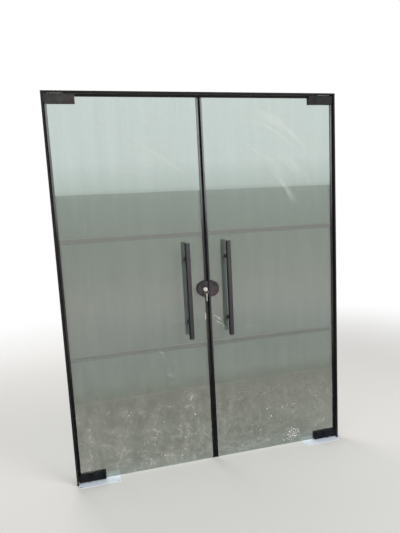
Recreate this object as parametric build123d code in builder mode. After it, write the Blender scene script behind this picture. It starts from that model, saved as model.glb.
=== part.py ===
# Double-leaf frameless glass entrance door in a slim metal frame.
# Two toughened glass leaves turn on corner patches, between top pivots and floor closers.
# Tube pull handles stand on both faces of each leaf, and a round lock sits on the meeting line.
#
# X runs to the right as seen from outside, Y into the building and Z up, all in millimetres.
# The origin is on the finished floor, midway between the jambs, in the middle of the glass.

from math import pi, radians, sqrt, tan
from build123d import *
import os

# Clearances
running_clearance = 0.05
thread_clearance = 0.05
screw_clearance = 0.2
film_margin = 0.5
part_gap = 0.5

# Slim frame
frame_width = 1796.0
frame_height = 2350.0
frame_face = 10.0
frame_depth = 50.0
frame_wall = 1.5
frame_corner = 1.0
port_y = 10.0
port_width = 7.0
corner_screw_radius = 1.8
corner_screw_head = 3.5
corner_head_height = 3.0
corner_screw_length = 32.0
fixing_inset = 7.0
fixing_radius = 3.25
fixing_low = 350.0
fixing_spacing = 600.0
fixing_top = 290.0
head_fixing_x = 400.0

# Glass leaves
glass_thickness = 12.0
glass_arris = 0.8
side_gap = 1.0
top_gap = 3.0
floor_gap = 10.0
meeting_gap = 0.8

# Black edge seals
seal_base = 1.5
seal_leg = 12.0
seal_wall = 1.6
bulb_radius = 3.6
hinge_seal_base = 3.5

# Frosted film on the inner face: lowest and highest edge of each band
film_thickness = 0.3
film_bands = ((515.0, 787.0), (815.0, 1497.0), (1525.0, 1775.0))

# Corner patches and the inserts that they clamp in the notched corners
pivot_inset = 60.0
insert_length = 50.0
insert_height = 30.0
insert_cap = 4.0
notch_reach = 37.0
notch_gap = 3.0
notch_corner = 8.0
patch_grip = 43.0
patch_cover = 18.0
patch_depth = 10.0
patch_edge = 1.2
patch_corner = 2.0
patch_screw_inset = 17.0
patch_screw_radius = 3.0
patch_screw_head = 5.6
patch_screw_bite = 6.0
gasket_thickness = 1.0
gasket_margin = 1.0

# Top pivots
pivot_plate_length = 90.0
pivot_plate_width = 30.0
pivot_plate_corner = 7.5
pivot_plate_thickness = 3.0
pivot_pin_radius = 5.0
pivot_pin_length = 22.0
pivot_pin_chamfer = 0.8
pivot_screw_reach = 33.0
pivot_screw_radius = 2.0
pivot_screw_head = 3.8
pivot_screw_length = 8.0

# Floor boxes with their covers
floor_cover_length = 256.0
floor_cover_width = 120.0
floor_cover_thickness = 2.0
floor_cover_corner = 2.0
floor_cover_edge = 0.5
floor_cover_hole = 16.0
floor_cover_overlap = 3.0
floor_box_depth = 50.0
floor_box_wall = 2.0
floor_post_inset = 10.0
floor_post_radius = 5.5
floor_screw_radius = 2.5
floor_screw_head = 4.4
floor_screw_length = 14.0

# Closers and their spindles
closer_room = 19.0
closer_width = 76.0
closer_height = 34.0
closer_end = 34.0
closer_corner = 6.0
closer_edge = 1.5
foot_reach = 12.0
foot_thickness = 6.0
foot_pad_height = 4.0
foot_pad_radius = 6.0
foot_screw_side = 10.0
foot_screw_radius = 2.5
foot_screw_head = 4.3
foot_screw_bite = 4.5
collar_radius = 20.0
collar_height = 6.0
valve_radius = 4.0
valve_inset = 20.0
valve_depth = 3.0
spindle_radius = 12.0
spindle_depth = 40.0
spindle_shoulder = 2.0
spindle_flat_length = 22.0
spindle_flat_width = 9.0

# Pull handles
pull_x = 130.0
pull_y = 62.0
pull_bottom = 858.0
pull_length = 600.0
pull_radius = 16.0
pull_wall = 1.5
pull_cap = 3.0
pull_end_edge = 1.0
post_spacing = 400.0
post_radius = 10.5
washer_radius = 12.5
glass_hole_radius = 8.0
stud_radius = 4.0
stud_clearance = 0.1
stud_bite = 21.0
grub_reach = 15.0
grub_radius = 2.0
grub_length = 5.0

# Round lock on the meeting line, with screw places given from the lock's centre
lock_x = 20.0
lock_z = 1158.0
lock_radius = 50.5
lock_setback = 3.0
lock_cover_depth = 18.0
lock_cover_wall = 3.0
lock_cover_edge = 2.0
lock_notch_radius = 40.0
case_setback = 1.0
boss_radius = 5.0
lock_screw_spots = ((32.0, 4.0), (-10.0, 33.0), (-10.0, -33.0))
lock_screw_radius = 2.4
lock_screw_head = 4.4
lock_screw_bite = 10.0

# Lock works: plug, pinion, rack, bolt and knob
cylinder_radius = 12.5
cylinder_proud = 6.0
cylinder_edge = 1.0
plug_radius = 7.5
plug_gap = 0.4
neck_radius = 4.5
tail_radius = 4.0
tail_square = 5.6
tail_bite = 8.0
gear_module = 1.0
pinion_teeth = 12
pinion_room = 0.6
tooth_reach = 0.6
tooth_root = 1.0
tooth_backlash = 0.45
tooth_slope = 20.0
bolt_setback = 1.0
bolt_thickness = 8.0
bolt_height = 19.0
bolt_tail = 7.0
bolt_lead = 1.5
strike_room = 2.0
knob_gap = 0.4
knob_radius = 15.0
knob_base = 4.0
knob_wing_width = 10.0
knob_wing_height = 27.0
knob_wing_corner = 4.0
knob_wing_reach = 16.0
knob_wing_edge = 1.5

# Keys and their ring
key_thickness = 2.2
key_gap = 5.0
key_slack = 0.15
blade_width = 8.0
blade_insertion = 21.0
blade_tip = 2.5
cut_pitch = 3.6
cut_depths = (1.2, 1.9, 0.8, 1.5)
bow_radius = 12.0
bow_hole = 3.0
bow_hole_shift = 6.5
ring_radius = 11.5
ring_wire = 0.8
ring_overlap = 0.1
ring_clearance = 0.3

# Sockets of all screws, as shares of the shank and of the head
socket_share = 0.55
socket_depth_share = 0.7

# Frame and glass edges
jamb_height = frame_height - frame_face
jamb_x = (frame_width - frame_face) / 2
inner_x = frame_width / 2 - frame_face
fixing_y = frame_depth / 2 - fixing_inset
upper_fixing = jamb_height - fixing_top
jamb_fixing_heights = (
    fixing_low, fixing_low + fixing_spacing, upper_fixing - fixing_spacing, upper_fixing,
)
tube_room = frame_face - 2 * frame_wall
glass_face = glass_thickness / 2
glass_outer_x = inner_x - side_gap - hinge_seal_base
glass_inner_x = meeting_gap / 2 + bulb_radius + seal_base
glass_middle_x = (glass_outer_x + glass_inner_x) / 2
glass_top = jamb_height - top_gap - seal_base
glass_bottom = floor_gap
pivot_x = glass_outer_x - pivot_inset
corner_spots = [(sx * jamb_x, y) for sx in (-1, 1) for y in (-port_y, port_y)]
head_fixings = [(-head_fixing_x, fixing_y), (head_fixing_x, fixing_y)]

# Patch places
notch_length = pivot_inset + insert_length / 2 + notch_reach
notch_height = insert_height + notch_gap
patch_length = notch_length + patch_grip
patch_height = notch_height + patch_cover
patch_back = glass_face + gasket_thickness
patch_front = patch_back + patch_depth
patch_end_x = glass_outer_x - patch_length
patch_middle_x = glass_outer_x - patch_length / 2
patch_screw_x = (
    glass_outer_x - (pivot_inset - insert_length / 2) / 2,
    glass_outer_x - notch_length + notch_reach / 2,
)
patch_rows = ((glass_bottom, 1), (glass_top, -1))
pivot_plate_bottom = jamb_height - pivot_plate_thickness

# Floor places
floor_box_length = floor_cover_length - 2 * floor_cover_overlap
floor_box_width = floor_cover_width - 2 * floor_cover_overlap
floor_cover_x = inner_x - part_gap - floor_cover_length / 2
floor_box_base = floor_box_wall - floor_box_depth
closer_far_x = floor_cover_x - floor_box_length / 2 + floor_box_wall + closer_room + foot_reach
closer_length = pivot_x + closer_end - closer_far_x
closer_x = (pivot_x + closer_end + closer_far_x) / 2
closer_base = floor_box_base + foot_pad_height
closer_top = closer_base + closer_height
collar_top = closer_top + collar_height
spindle_top = glass_bottom + insert_height - insert_cap

# Pull and lock places
pull_posts = (
    pull_bottom + (pull_length - post_spacing) / 2,
    pull_bottom + (pull_length + post_spacing) / 2,
)
lock_front = patch_back + lock_cover_depth
case_edge = lock_setback + case_setback
case_radius = lock_notch_radius - part_gap
cylinder_front = lock_front + cylinder_proud
plug_back = patch_back + plug_gap
tail_end = lock_front + knob_gap + knob_base + tail_bite

# Gear places: half a turn of the pinion throws the bolt
pinion_radius = gear_module * pinion_teeth / 2
tooth_pitch = pi * gear_module
tooth_half = (tooth_pitch / 2 - tooth_backlash) / 2
tooth_spread = tan(radians(tooth_slope))
bolt_throw = pi * pinion_radius
rack_tip = lock_z - pinion_radius + tooth_reach
rack_root = lock_z - pinion_radius - tooth_root
rack_teeth = pinion_teeth // 2 + 4
bolt_bottom = rack_root - bolt_height
bolt_front = case_edge + bolt_setback
bolt_back = lock_x + bolt_throw + bolt_tail
strike_end = bolt_throw - bolt_front + strike_room

# Key places
blade_length = blade_insertion + key_gap
key_hole_y = cylinder_front + key_gap + bow_radius + bow_hole_shift
ring_turn = ring_wire - ring_overlap / 2
ring_sag = sqrt((bow_hole - ring_wire - ring_clearance) ** 2 - ring_turn ** 2)
ring_z = lock_z - ring_sag - ring_radius
spare_hole_z = ring_z - ring_radius - ring_sag

os.makedirs("parts", exist_ok=True)


def save(builder, name):
    builder.part.label = name
    export_step(builder.part, "parts/" + name + ".step")


def facing(x, y, z, direction):
    # Plane at a point, with the normal that a screw head faces
    return Plane(origin=(x, y, z), z_dir=direction)


def sunk_screws(places, shank, head, length):
    # Countersunk socket screws whose heads lie in the given planes
    down = (Align.CENTER, Align.CENTER, Align.MAX)
    head_height = head - shank
    with Locations(*places):
        Cylinder(shank, length, align=down)
        Cone(shank, head, head_height, align=down)
        Cylinder(shank * socket_share, head_height * socket_depth_share, align=down, mode=Mode.SUBTRACT)


def cap_screws(places, shank, head, head_height, length):
    # Round-headed socket screws whose heads stand on the given planes
    down = (Align.CENTER, Align.CENTER, Align.MAX)
    with Locations(*places):
        Cylinder(shank, length, align=down)
    with Locations(*[place.offset(head_height) for place in places]):
        Cylinder(head, head_height, align=down)
        Cylinder(shank * socket_share, head_height * socket_depth_share, align=down, mode=Mode.SUBTRACT)


def sink_holes(places, shank, head, depth):
    # Countersunk holes that the sunk screws drop into
    with Locations(*places):
        CounterSinkHole(shank + screw_clearance, head + screw_clearance, depth, 90)


def lock_outline(side, edge, radius):
    # Half-round outline with its straight side at the meeting line
    length = lock_x + radius - edge
    with Locations((side * lock_x, lock_z)):
        Circle(radius)
    with Locations((side * (edge + lock_x) / 2, lock_z)):
        Rectangle(lock_x - edge, 2 * radius)
    with Locations((side * (edge + length / 2), lock_z)):
        Rectangle(length, 2 * radius, mode=Mode.INTERSECT)


def lock_spots(side):
    return [(side * (lock_x + across), lock_z + up) for across, up in lock_screw_spots]


def pull_spots(side):
    return [(side * pull_x, z) for z in pull_posts]


def pivot_screw_spots(side):
    return [(side * pivot_x + reach, 0.0) for reach in (-pivot_screw_reach, pivot_screw_reach)]


def floor_screw_spots(side):
    reach_x = floor_box_length / 2 - floor_post_inset
    reach_y = floor_box_width / 2 - floor_post_inset
    return [(side * floor_cover_x + sx * reach_x, sy * reach_y) for sx in (-1, 1) for sy in (-1, 1)]


def foot_screw_spots(side):
    reach_x = (closer_length + foot_reach) / 2
    reach_y = closer_width / 2 - foot_screw_side
    return [(side * closer_x + sx * reach_x, sy * reach_y) for sx in (-1, 1) for sy in (-1, 1)]


# Jambs: flat tubes with two screw ports inside and four fixing holes through both walls
def make_jamb(side, name):
    with BuildPart() as jamb:
        with BuildSketch():
            with Locations((side * jamb_x, 0)):
                RectangleRounded(frame_face, frame_depth, frame_corner)
                Rectangle(tube_room, frame_depth - 2 * frame_wall, mode=Mode.SUBTRACT)
            with Locations((side * jamb_x, -port_y), (side * jamb_x, port_y)):
                Rectangle(tube_room, port_width)
                Circle(corner_screw_radius + thread_clearance, mode=Mode.SUBTRACT)
        extrude(amount=jamb_height)
        with BuildSketch(Plane.YZ.offset(side * jamb_x)):
            with Locations(*[(fixing_y, z) for z in jamb_fixing_heights]):
                Circle(fixing_radius)
        extrude(amount=frame_face, both=True, mode=Mode.SUBTRACT)
    save(jamb, name)


make_jamb(-1, "left_jamb")
make_jamb(1, "right_jamb")

# Head rail: the same tube laid across both jambs, with access holes over the corner screws
with BuildPart() as head_rail:
    with BuildSketch(Plane.YZ.offset(-frame_width / 2)):
        with Locations((0, frame_height - frame_face / 2)):
            RectangleRounded(frame_depth, frame_face, frame_corner)
            Rectangle(frame_depth - 2 * frame_wall, tube_room, mode=Mode.SUBTRACT)
    extrude(amount=frame_width)
    with BuildSketch(Plane.XY.offset(jamb_height)):
        with Locations(*corner_spots):
            Circle(corner_screw_radius + screw_clearance)
        with Locations(*pivot_screw_spots(-1), *pivot_screw_spots(1)):
            Circle(pivot_screw_radius + thread_clearance)
        with Locations(*head_fixings):
            Circle(fixing_radius)
    extrude(amount=frame_wall, mode=Mode.SUBTRACT)
    with BuildSketch(Plane.XY.offset(frame_height - frame_wall)):
        with Locations(*corner_spots):
            Circle(corner_screw_head + screw_clearance)
        with Locations(*head_fixings):
            Circle(fixing_radius)
    extrude(amount=frame_wall, mode=Mode.SUBTRACT)
save(head_rail, "head_rail")


# Top pivots: a plate screwed under the head, with a pin that hangs into the leaf's bush
def make_top_pivot(side, name):
    with BuildPart() as pivot:
        with BuildSketch(Plane.XY.offset(pivot_plate_bottom)):
            with Locations((side * pivot_x, 0)):
                RectangleRounded(pivot_plate_length, pivot_plate_width, pivot_plate_corner)
        extrude(amount=pivot_plate_thickness)
        with BuildSketch(Plane.XY.offset(pivot_plate_bottom)):
            with Locations((side * pivot_x, 0)):
                Circle(pivot_pin_radius)
        extrude(amount=-pivot_pin_length)
        chamfer(pivot.faces().sort_by(Axis.Z)[0].edges(), pivot_pin_chamfer)
        places = [facing(x, y, pivot_plate_bottom, (0, 0, -1)) for x, y in pivot_screw_spots(side)]
        sink_holes(places, pivot_screw_radius, pivot_screw_head, pivot_plate_thickness)
    save(pivot, name)


make_top_pivot(-1, "left_top_pivot")
make_top_pivot(1, "right_top_pivot")

with BuildPart() as frame_screws:
    cap_screws(
        [facing(x, y, jamb_height + frame_wall, (0, 0, 1)) for x, y in corner_spots],
        corner_screw_radius, corner_screw_head, corner_head_height, corner_screw_length,
    )
    pivot_screw_places = [
        facing(x, y, pivot_plate_bottom, (0, 0, -1)) for side in (-1, 1) for x, y in pivot_screw_spots(side)
    ]
    sunk_screws(pivot_screw_places, pivot_screw_radius, pivot_screw_head, pivot_screw_length)
save(frame_screws, "frame_screws")


# Floor boxes: open pans set in the floor, with posts for the cover and pads for the closer
def make_floor_box(side, name):
    with BuildPart() as box:
        with BuildSketch(Plane.XY.offset(-floor_box_depth)):
            with Locations((side * floor_cover_x, 0)):
                Rectangle(floor_box_length, floor_box_width)
        extrude(amount=floor_box_depth)
        with BuildSketch(Plane.XY.offset(floor_box_base)):
            with Locations((side * floor_cover_x, 0)):
                Rectangle(floor_box_length - 2 * floor_box_wall, floor_box_width - 2 * floor_box_wall)
        extrude(amount=-floor_box_base, mode=Mode.SUBTRACT)
        with BuildSketch(Plane.XY.offset(-floor_box_depth)):
            with Locations(*floor_screw_spots(side)):
                Circle(floor_post_radius)
        extrude(amount=floor_box_depth)
        with BuildSketch():
            with Locations(*floor_screw_spots(side)):
                Circle(floor_screw_radius + thread_clearance)
        extrude(amount=-floor_screw_length, mode=Mode.SUBTRACT)
        with BuildSketch(Plane.XY.offset(floor_box_base)):
            with Locations(*foot_screw_spots(side)):
                Circle(foot_pad_radius)
        extrude(amount=foot_pad_height)
        with BuildSketch(Plane.XY.offset(closer_base)):
            with Locations(*foot_screw_spots(side)):
                Circle(foot_screw_radius + thread_clearance)
        extrude(amount=-foot_screw_bite, mode=Mode.SUBTRACT)
    save(box, name)


make_floor_box(-1, "left_floor_box")
make_floor_box(1, "right_floor_box")


# Closers: sealed oil-filled units, with a blind bearing for the spindle and two speed valves
def make_closer(side, name):
    valve_x = side * (closer_x - closer_length / 2 + valve_inset)
    with BuildPart() as closer:
        with BuildSketch(Plane.XY.offset(closer_base)):
            with Locations((side * closer_x, 0)):
                RectangleRounded(closer_length, closer_width, closer_corner)
        extrude(amount=closer_height)
        fillet(closer.faces().sort_by(Axis.Z)[-1].edges(), closer_edge)
        with BuildSketch(Plane.XY.offset(closer_base)):
            with Locations((side * closer_x, 0)):
                RectangleRounded(closer_length + 2 * foot_reach, closer_width, closer_corner)
        extrude(amount=foot_thickness)
        with BuildSketch(Plane.XY.offset(closer_top)):
            with Locations((side * pivot_x, 0)):
                Circle(collar_radius)
        extrude(amount=collar_height)
        with BuildSketch(Plane.XY.offset(-spindle_depth)):
            with Locations((side * pivot_x, 0)):
                Circle(spindle_radius + running_clearance)
        extrude(amount=spindle_depth + collar_top, mode=Mode.SUBTRACT)
        with BuildSketch(Plane.XY.offset(closer_base)):
            with Locations(*foot_screw_spots(side)):
                Circle(foot_screw_radius + screw_clearance)
        extrude(amount=foot_thickness, mode=Mode.SUBTRACT)
        with BuildSketch(Plane.XY.offset(closer_top)):
            with Locations((valve_x, -valve_inset), (valve_x, valve_inset)):
                Circle(valve_radius)
                RegularPolygon(valve_radius * socket_share, 6, mode=Mode.SUBTRACT)
        extrude(amount=-valve_depth, mode=Mode.SUBTRACT)
    save(closer, name)


make_closer(-1, "left_closer")
make_closer(1, "right_closer")


def make_floor_cover(side, name):
    with BuildPart() as cover:
        with BuildSketch():
            with Locations((side * floor_cover_x, 0)):
                RectangleRounded(floor_cover_length, floor_cover_width, floor_cover_corner)
        extrude(amount=floor_cover_thickness)
        chamfer(cover.faces().sort_by(Axis.Z)[-1].edges(), floor_cover_edge)
        with BuildSketch():
            with Locations((side * pivot_x, 0)):
                Circle(floor_cover_hole)
        extrude(amount=floor_cover_thickness, mode=Mode.SUBTRACT)
        places = [facing(x, y, floor_cover_thickness, (0, 0, 1)) for x, y in floor_screw_spots(side)]
        sink_holes(places, floor_screw_radius, floor_screw_head, floor_cover_thickness)
    save(cover, name)


make_floor_cover(-1, "left_floor_cover")
make_floor_cover(1, "right_floor_cover")

with BuildPart() as floor_screws:
    cover_screw_places = [
        facing(x, y, floor_cover_thickness, (0, 0, 1))
        for side in (-1, 1) for x, y in floor_screw_spots(side)
    ]
    sunk_screws(cover_screw_places, floor_screw_radius, floor_screw_head, floor_screw_length)
    foot_screw_places = [
        facing(x, y, closer_base + foot_thickness, (0, 0, 1))
        for side in (-1, 1) for x, y in foot_screw_spots(side)
    ]
    cap_screws(
        foot_screw_places, foot_screw_radius, foot_screw_head, foot_screw_radius,
        foot_thickness + foot_screw_bite,
    )
save(floor_screws, "floor_screws")


# Leaves: one pane each, notched at both hinge corners and at the lock
def make_glass(side, name):
    notch_x = side * (glass_outer_x - notch_length / 2 + notch_corner)
    notch_shift = notch_height / 2 - notch_corner
    with BuildPart() as glass:
        with BuildSketch(Plane.XZ.offset(-glass_face)):
            with Locations((side * glass_middle_x, (glass_top + glass_bottom) / 2)):
                Rectangle(glass_outer_x - glass_inner_x, glass_top - glass_bottom)
            with Locations(*[(notch_x, edge_z + inward * notch_shift) for edge_z, inward in patch_rows]):
                RectangleRounded(
                    notch_length + 2 * notch_corner, notch_height + 2 * notch_corner, notch_corner,
                    mode=Mode.SUBTRACT,
                )
            with Locations(*pull_spots(side)):
                Circle(glass_hole_radius, mode=Mode.SUBTRACT)
        extrude(amount=glass_thickness)
        with BuildSketch(Plane.XZ.offset(-glass_face)):
            lock_outline(side, 0, lock_notch_radius)
        extrude(amount=glass_thickness, mode=Mode.SUBTRACT)
        faces = glass.faces().sort_by(Axis.Y)
        chamfer(faces[0].edges() + faces[-1].edges(), glass_arris)
    save(glass, name)


def make_film(side, name):
    film_length = glass_outer_x - glass_inner_x - 2 * (seal_leg + film_margin)
    with BuildPart() as film:
        with BuildSketch(Plane.XZ.offset(-glass_face)):
            for low, high in film_bands:
                with Locations((side * glass_middle_x, (low + high) / 2)):
                    Rectangle(film_length, high - low)
            with Locations(*pull_spots(side)):
                Circle(washer_radius + film_margin, mode=Mode.SUBTRACT)
        extrude(amount=-film_thickness)
        with BuildSketch(Plane.XZ.offset(-glass_face)):
            lock_outline(side, 0, lock_radius + film_margin)
        extrude(amount=-film_thickness, mode=Mode.SUBTRACT)
    save(film, name)


def seal_section(edge, inward, base=seal_base):
    # U round the pane's edge, open towards the pane (inward is 1 or -1 along the plane's x)
    with Locations((edge + inward * (seal_leg - base) / 2, 0)):
        Rectangle(base + seal_leg, glass_thickness + 2 * seal_wall)
    with Locations((edge + inward * seal_leg / 2, 0)):
        Rectangle(seal_leg, glass_thickness, mode=Mode.SUBTRACT)


def make_edge_seals(side, name):
    patch_reach = patch_height + part_gap
    lock_reach = lock_radius + part_gap
    meeting_runs = ((glass_bottom, lock_z - lock_reach), (lock_z + lock_reach, glass_top + seal_base))
    with BuildPart() as seals:
        with BuildSketch(Plane.XY.offset(glass_bottom + patch_reach)):
            seal_section(side * glass_outer_x, -side, hinge_seal_base)
        extrude(amount=glass_top - glass_bottom - 2 * patch_reach)
        for low, high in meeting_runs:
            with BuildSketch(Plane.XY.offset(low)):
                with Locations((side * (glass_inner_x - seal_base), 0)):
                    Circle(bulb_radius)
                seal_section(side * glass_inner_x, side)
            extrude(amount=high - low)
        with BuildSketch(Plane(origin=(side * glass_inner_x, 0, glass_top), x_dir=(0, 0, 1), z_dir=(1, 0, 0))):
            seal_section(0, -1)
        extrude(amount=side * (patch_end_x - part_gap - glass_inner_x))
    save(seals, name)


# Patches: a plain outer half with blind threads, and an inner half that takes the screw heads
def make_patch_half(side, face, edge_z, inward, name):
    screw_spots = [(side * x, edge_z + inward * patch_screw_inset) for x in patch_screw_x]
    with BuildPart() as half:
        with BuildSketch(Plane.XZ.offset(-face * patch_back)):
            with Locations((side * patch_middle_x, edge_z + inward * patch_height / 2)):
                RectangleRounded(patch_length, patch_height, patch_corner)
        extrude(amount=-face * patch_depth)
        front = half.faces().sort_by(Axis.Y)[-1 if face > 0 else 0]
        fillet(front.edges(), patch_edge)
        if face > 0:
            places = [facing(x, patch_front, z, (0, 1, 0)) for x, z in screw_spots]
            sink_holes(places, patch_screw_radius, patch_screw_head, patch_depth)
        else:
            with BuildSketch(Plane.XZ.offset(patch_back)):
                with Locations(*screw_spots):
                    Circle(patch_screw_radius + thread_clearance)
            extrude(amount=patch_screw_bite, mode=Mode.SUBTRACT)
    save(half, name)


def make_patch_screws(side, name):
    places = [
        facing(side * x, patch_front, edge_z + inward * patch_screw_inset, (0, 1, 0))
        for edge_z, inward in patch_rows for x in patch_screw_x
    ]
    with BuildPart() as screws:
        sunk_screws(
            places, patch_screw_radius, patch_screw_head, patch_front + patch_back + patch_screw_bite
        )
    save(screws, name)


# Soft pieces between metal and glass: patch pads, pull washers with sleeves, and lock pads
def make_glass_gaskets(side, name):
    with BuildPart() as gaskets:
        for face in (-1, 1):
            with BuildSketch(Plane.XZ.offset(-face * glass_face)):
                for edge_z, inward in patch_rows:
                    with Locations((side * patch_middle_x, edge_z + inward * patch_height / 2)):
                        Rectangle(patch_length - 2 * gasket_margin, patch_height - 2 * gasket_margin)
                    with Locations((side * (glass_outer_x - notch_length / 2), edge_z)):
                        Rectangle(notch_length, 2 * notch_height, mode=Mode.SUBTRACT)
                with Locations(*pull_spots(side)):
                    Circle(washer_radius)
            extrude(amount=-face * gasket_thickness)
            with BuildSketch(Plane.XZ.offset(-face * glass_face)):
                lock_outline(side, glass_inner_x, lock_radius - gasket_margin)
            extrude(amount=-face * gasket_thickness)
            with BuildSketch(Plane.XZ.offset(-face * glass_face)):
                lock_outline(side, 0, lock_notch_radius + gasket_margin)
            extrude(amount=-face * gasket_thickness, mode=Mode.SUBTRACT)
        with BuildSketch(Plane.XZ):
            with Locations(*pull_spots(side)):
                Circle(glass_hole_radius - stud_clearance)
        extrude(amount=glass_face, both=True)
        with BuildSketch(Plane.XZ):
            with Locations(*pull_spots(side)):
                Circle(stud_radius + stud_clearance)
        extrude(amount=patch_back, both=True, mode=Mode.SUBTRACT)
    save(gaskets, name)


# Inserts in the corner notches: a bush on the top pin and a block on the closer's spindle
def make_top_bush(side, name):
    hole_depth = glass_top - pivot_plate_bottom + pivot_pin_length + part_gap
    with BuildPart() as bush:
        with BuildSketch(Plane.XY.offset(glass_top)):
            with Locations((side * pivot_x, 0)):
                Rectangle(insert_length, 2 * patch_back)
        extrude(amount=-insert_height)
        with BuildSketch(Plane.XY.offset(glass_top)):
            with Locations((side * pivot_x, 0)):
                Circle(pivot_pin_radius + running_clearance)
        extrude(amount=-hole_depth, mode=Mode.SUBTRACT)
    save(bush, name)


def make_bottom_insert(side, name):
    with BuildPart() as insert:
        with BuildSketch(Plane.XY.offset(glass_bottom)):
            with Locations((side * pivot_x, 0)):
                Rectangle(insert_length, 2 * patch_back)
        extrude(amount=insert_height)
        with BuildSketch(Plane.XY.offset(glass_bottom)):
            with Locations((side * pivot_x, 0)):
                Rectangle(spindle_flat_length, spindle_flat_width)
        extrude(amount=spindle_top - glass_bottom, mode=Mode.SUBTRACT)
    save(insert, name)


def make_spindle(side, name):
    with BuildPart() as spindle:
        with BuildSketch(Plane.XY.offset(-spindle_shoulder)):
            with Locations((side * pivot_x, 0)):
                Circle(spindle_radius)
        extrude(amount=spindle_shoulder - spindle_depth)
        with BuildSketch(Plane.XY.offset(-spindle_shoulder)):
            with Locations((side * pivot_x, 0)):
                Rectangle(spindle_flat_length, spindle_flat_width)
        extrude(amount=spindle_shoulder + spindle_top)
    save(spindle, name)


# Pulls: a capped tube on two posts, drawn together by studs that pass through the glass
def make_pull(side, face, name):
    with BuildPart() as pull:
        with BuildSketch(Plane.XY.offset(pull_bottom)):
            with Locations((side * pull_x, face * pull_y)):
                Circle(pull_radius)
        extrude(amount=pull_length)
        fillet(pull.edges().filter_by(GeomType.CIRCLE), pull_end_edge)
        with BuildSketch(Plane.XZ.offset(-face * patch_back)):
            with Locations(*pull_spots(side)):
                Circle(post_radius)
        extrude(amount=-face * (pull_y - patch_back))
        with BuildSketch(Plane.XY.offset(pull_bottom + pull_cap)):
            with Locations((side * pull_x, face * pull_y)):
                Circle(pull_radius - pull_wall)
        extrude(amount=pull_length - 2 * pull_cap, mode=Mode.SUBTRACT)
        with BuildSketch(Plane.XZ.offset(-face * patch_back)):
            with Locations(*pull_spots(side)):
                Circle(stud_radius + stud_clearance)
        extrude(amount=-face * (stud_bite + part_gap), mode=Mode.SUBTRACT)
        for z in pull_posts:
            with BuildSketch(Plane.XY.offset(z)):
                with Locations((side * pull_x, face * (patch_back + grub_reach))):
                    Circle(grub_radius + thread_clearance)
            extrude(amount=-post_radius, mode=Mode.SUBTRACT)
    save(pull, name)


def make_pull_fixings(side, name):
    grub_y = patch_back + grub_reach
    with BuildPart() as fixings:
        with BuildSketch(Plane.XZ):
            with Locations(*pull_spots(side)):
                Circle(stud_radius)
        extrude(amount=patch_back + stud_bite, both=True)
        for z in pull_posts:
            with BuildSketch(Plane.XY.offset(z - stud_radius)):
                with Locations((side * pull_x, -grub_y), (side * pull_x, grub_y)):
                    Circle(grub_radius)
            extrude(amount=-grub_length)
    save(fixings, name)


for side, hand in ((-1, "left"), (1, "right")):
    make_glass(side, hand + "_glass")
    make_film(side, hand + "_frosted_film")
    make_edge_seals(side, hand + "_edge_seals")
    make_patch_half(side, -1, glass_top, -1, hand + "_top_patch_outer")
    make_patch_half(side, 1, glass_top, -1, hand + "_top_patch_inner")
    make_patch_half(side, -1, glass_bottom, 1, hand + "_bottom_patch_outer")
    make_patch_half(side, 1, glass_bottom, 1, hand + "_bottom_patch_inner")
    make_patch_screws(side, hand + "_patch_screws")
    make_glass_gaskets(side, hand + "_glass_gaskets")
    make_top_bush(side, hand + "_top_bush")
    make_bottom_insert(side, hand + "_bottom_insert")
    make_spindle(side, hand + "_spindle")
    make_pull(side, -1, hand + "_outer_pull")
    make_pull(side, 1, hand + "_inner_pull")
    make_pull_fixings(side, hand + "_pull_fixings")


# Lock and strike: the same half-round covers, clamped on a case in the notch of each leaf
def make_lock_cover(side, face, bore, name):
    room = lock_cover_depth - lock_cover_wall
    base = Plane.XZ.offset(-face * patch_back)
    with BuildPart() as cover:
        with BuildSketch(base):
            lock_outline(side, lock_setback, lock_radius)
        extrude(amount=-face * lock_cover_depth)
        front = cover.faces().sort_by(Axis.Y)[-1 if face > 0 else 0]
        fillet(front.edges(), lock_cover_edge)
        with BuildSketch(base):
            lock_outline(side, lock_setback + lock_cover_wall, lock_radius - lock_cover_wall)
        extrude(amount=-face * room, mode=Mode.SUBTRACT)
        with BuildSketch(base):
            with Locations(*lock_spots(side)):
                Circle(boss_radius)
        extrude(amount=-face * room)
        if face > 0:
            places = [facing(x, lock_front, z, (0, 1, 0)) for x, z in lock_spots(side)]
            sink_holes(places, lock_screw_radius, lock_screw_head, lock_cover_depth)
        else:
            with BuildSketch(base):
                with Locations(*lock_spots(side)):
                    Circle(lock_screw_radius + thread_clearance)
            extrude(amount=lock_screw_bite, mode=Mode.SUBTRACT)
        if bore:
            with BuildSketch(base):
                with Locations((side * lock_x, lock_z)):
                    Circle(bore)
            extrude(amount=-face * lock_cover_depth, mode=Mode.SUBTRACT)
    save(cover, name)


def make_lock_screws(side, name):
    places = [facing(x, lock_front, z, (0, 1, 0)) for x, z in lock_spots(side)]
    with BuildPart() as screws:
        sunk_screws(places, lock_screw_radius, lock_screw_head, lock_front + patch_back + lock_screw_bite)
    save(screws, name)


def case_block(side):
    # Half-round block that fills the notch in the glass, with its screw holes
    with BuildSketch(Plane.XZ) as block:
        lock_outline(side, case_edge, case_radius)
    extrude(block.sketch, amount=patch_back, both=True)
    with BuildSketch(Plane.XZ) as holes:
        with Locations(*lock_spots(side)):
            Circle(lock_screw_radius + screw_clearance)
    extrude(holes.sketch, amount=patch_back, both=True, mode=Mode.SUBTRACT)


def bolt_channel(side, end):
    # Slot for the bolt, from the case's straight edge to a distance from the meeting line
    low = bolt_bottom - screw_clearance
    high = rack_tip + screw_clearance
    with BuildSketch(Plane.XZ) as slot:
        with Locations((side * (case_edge + end) / 2, (low + high) / 2)):
            Rectangle(end - case_edge, high - low)
    extrude(slot.sketch, amount=bolt_thickness / 2 + screw_clearance, both=True, mode=Mode.SUBTRACT)


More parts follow.
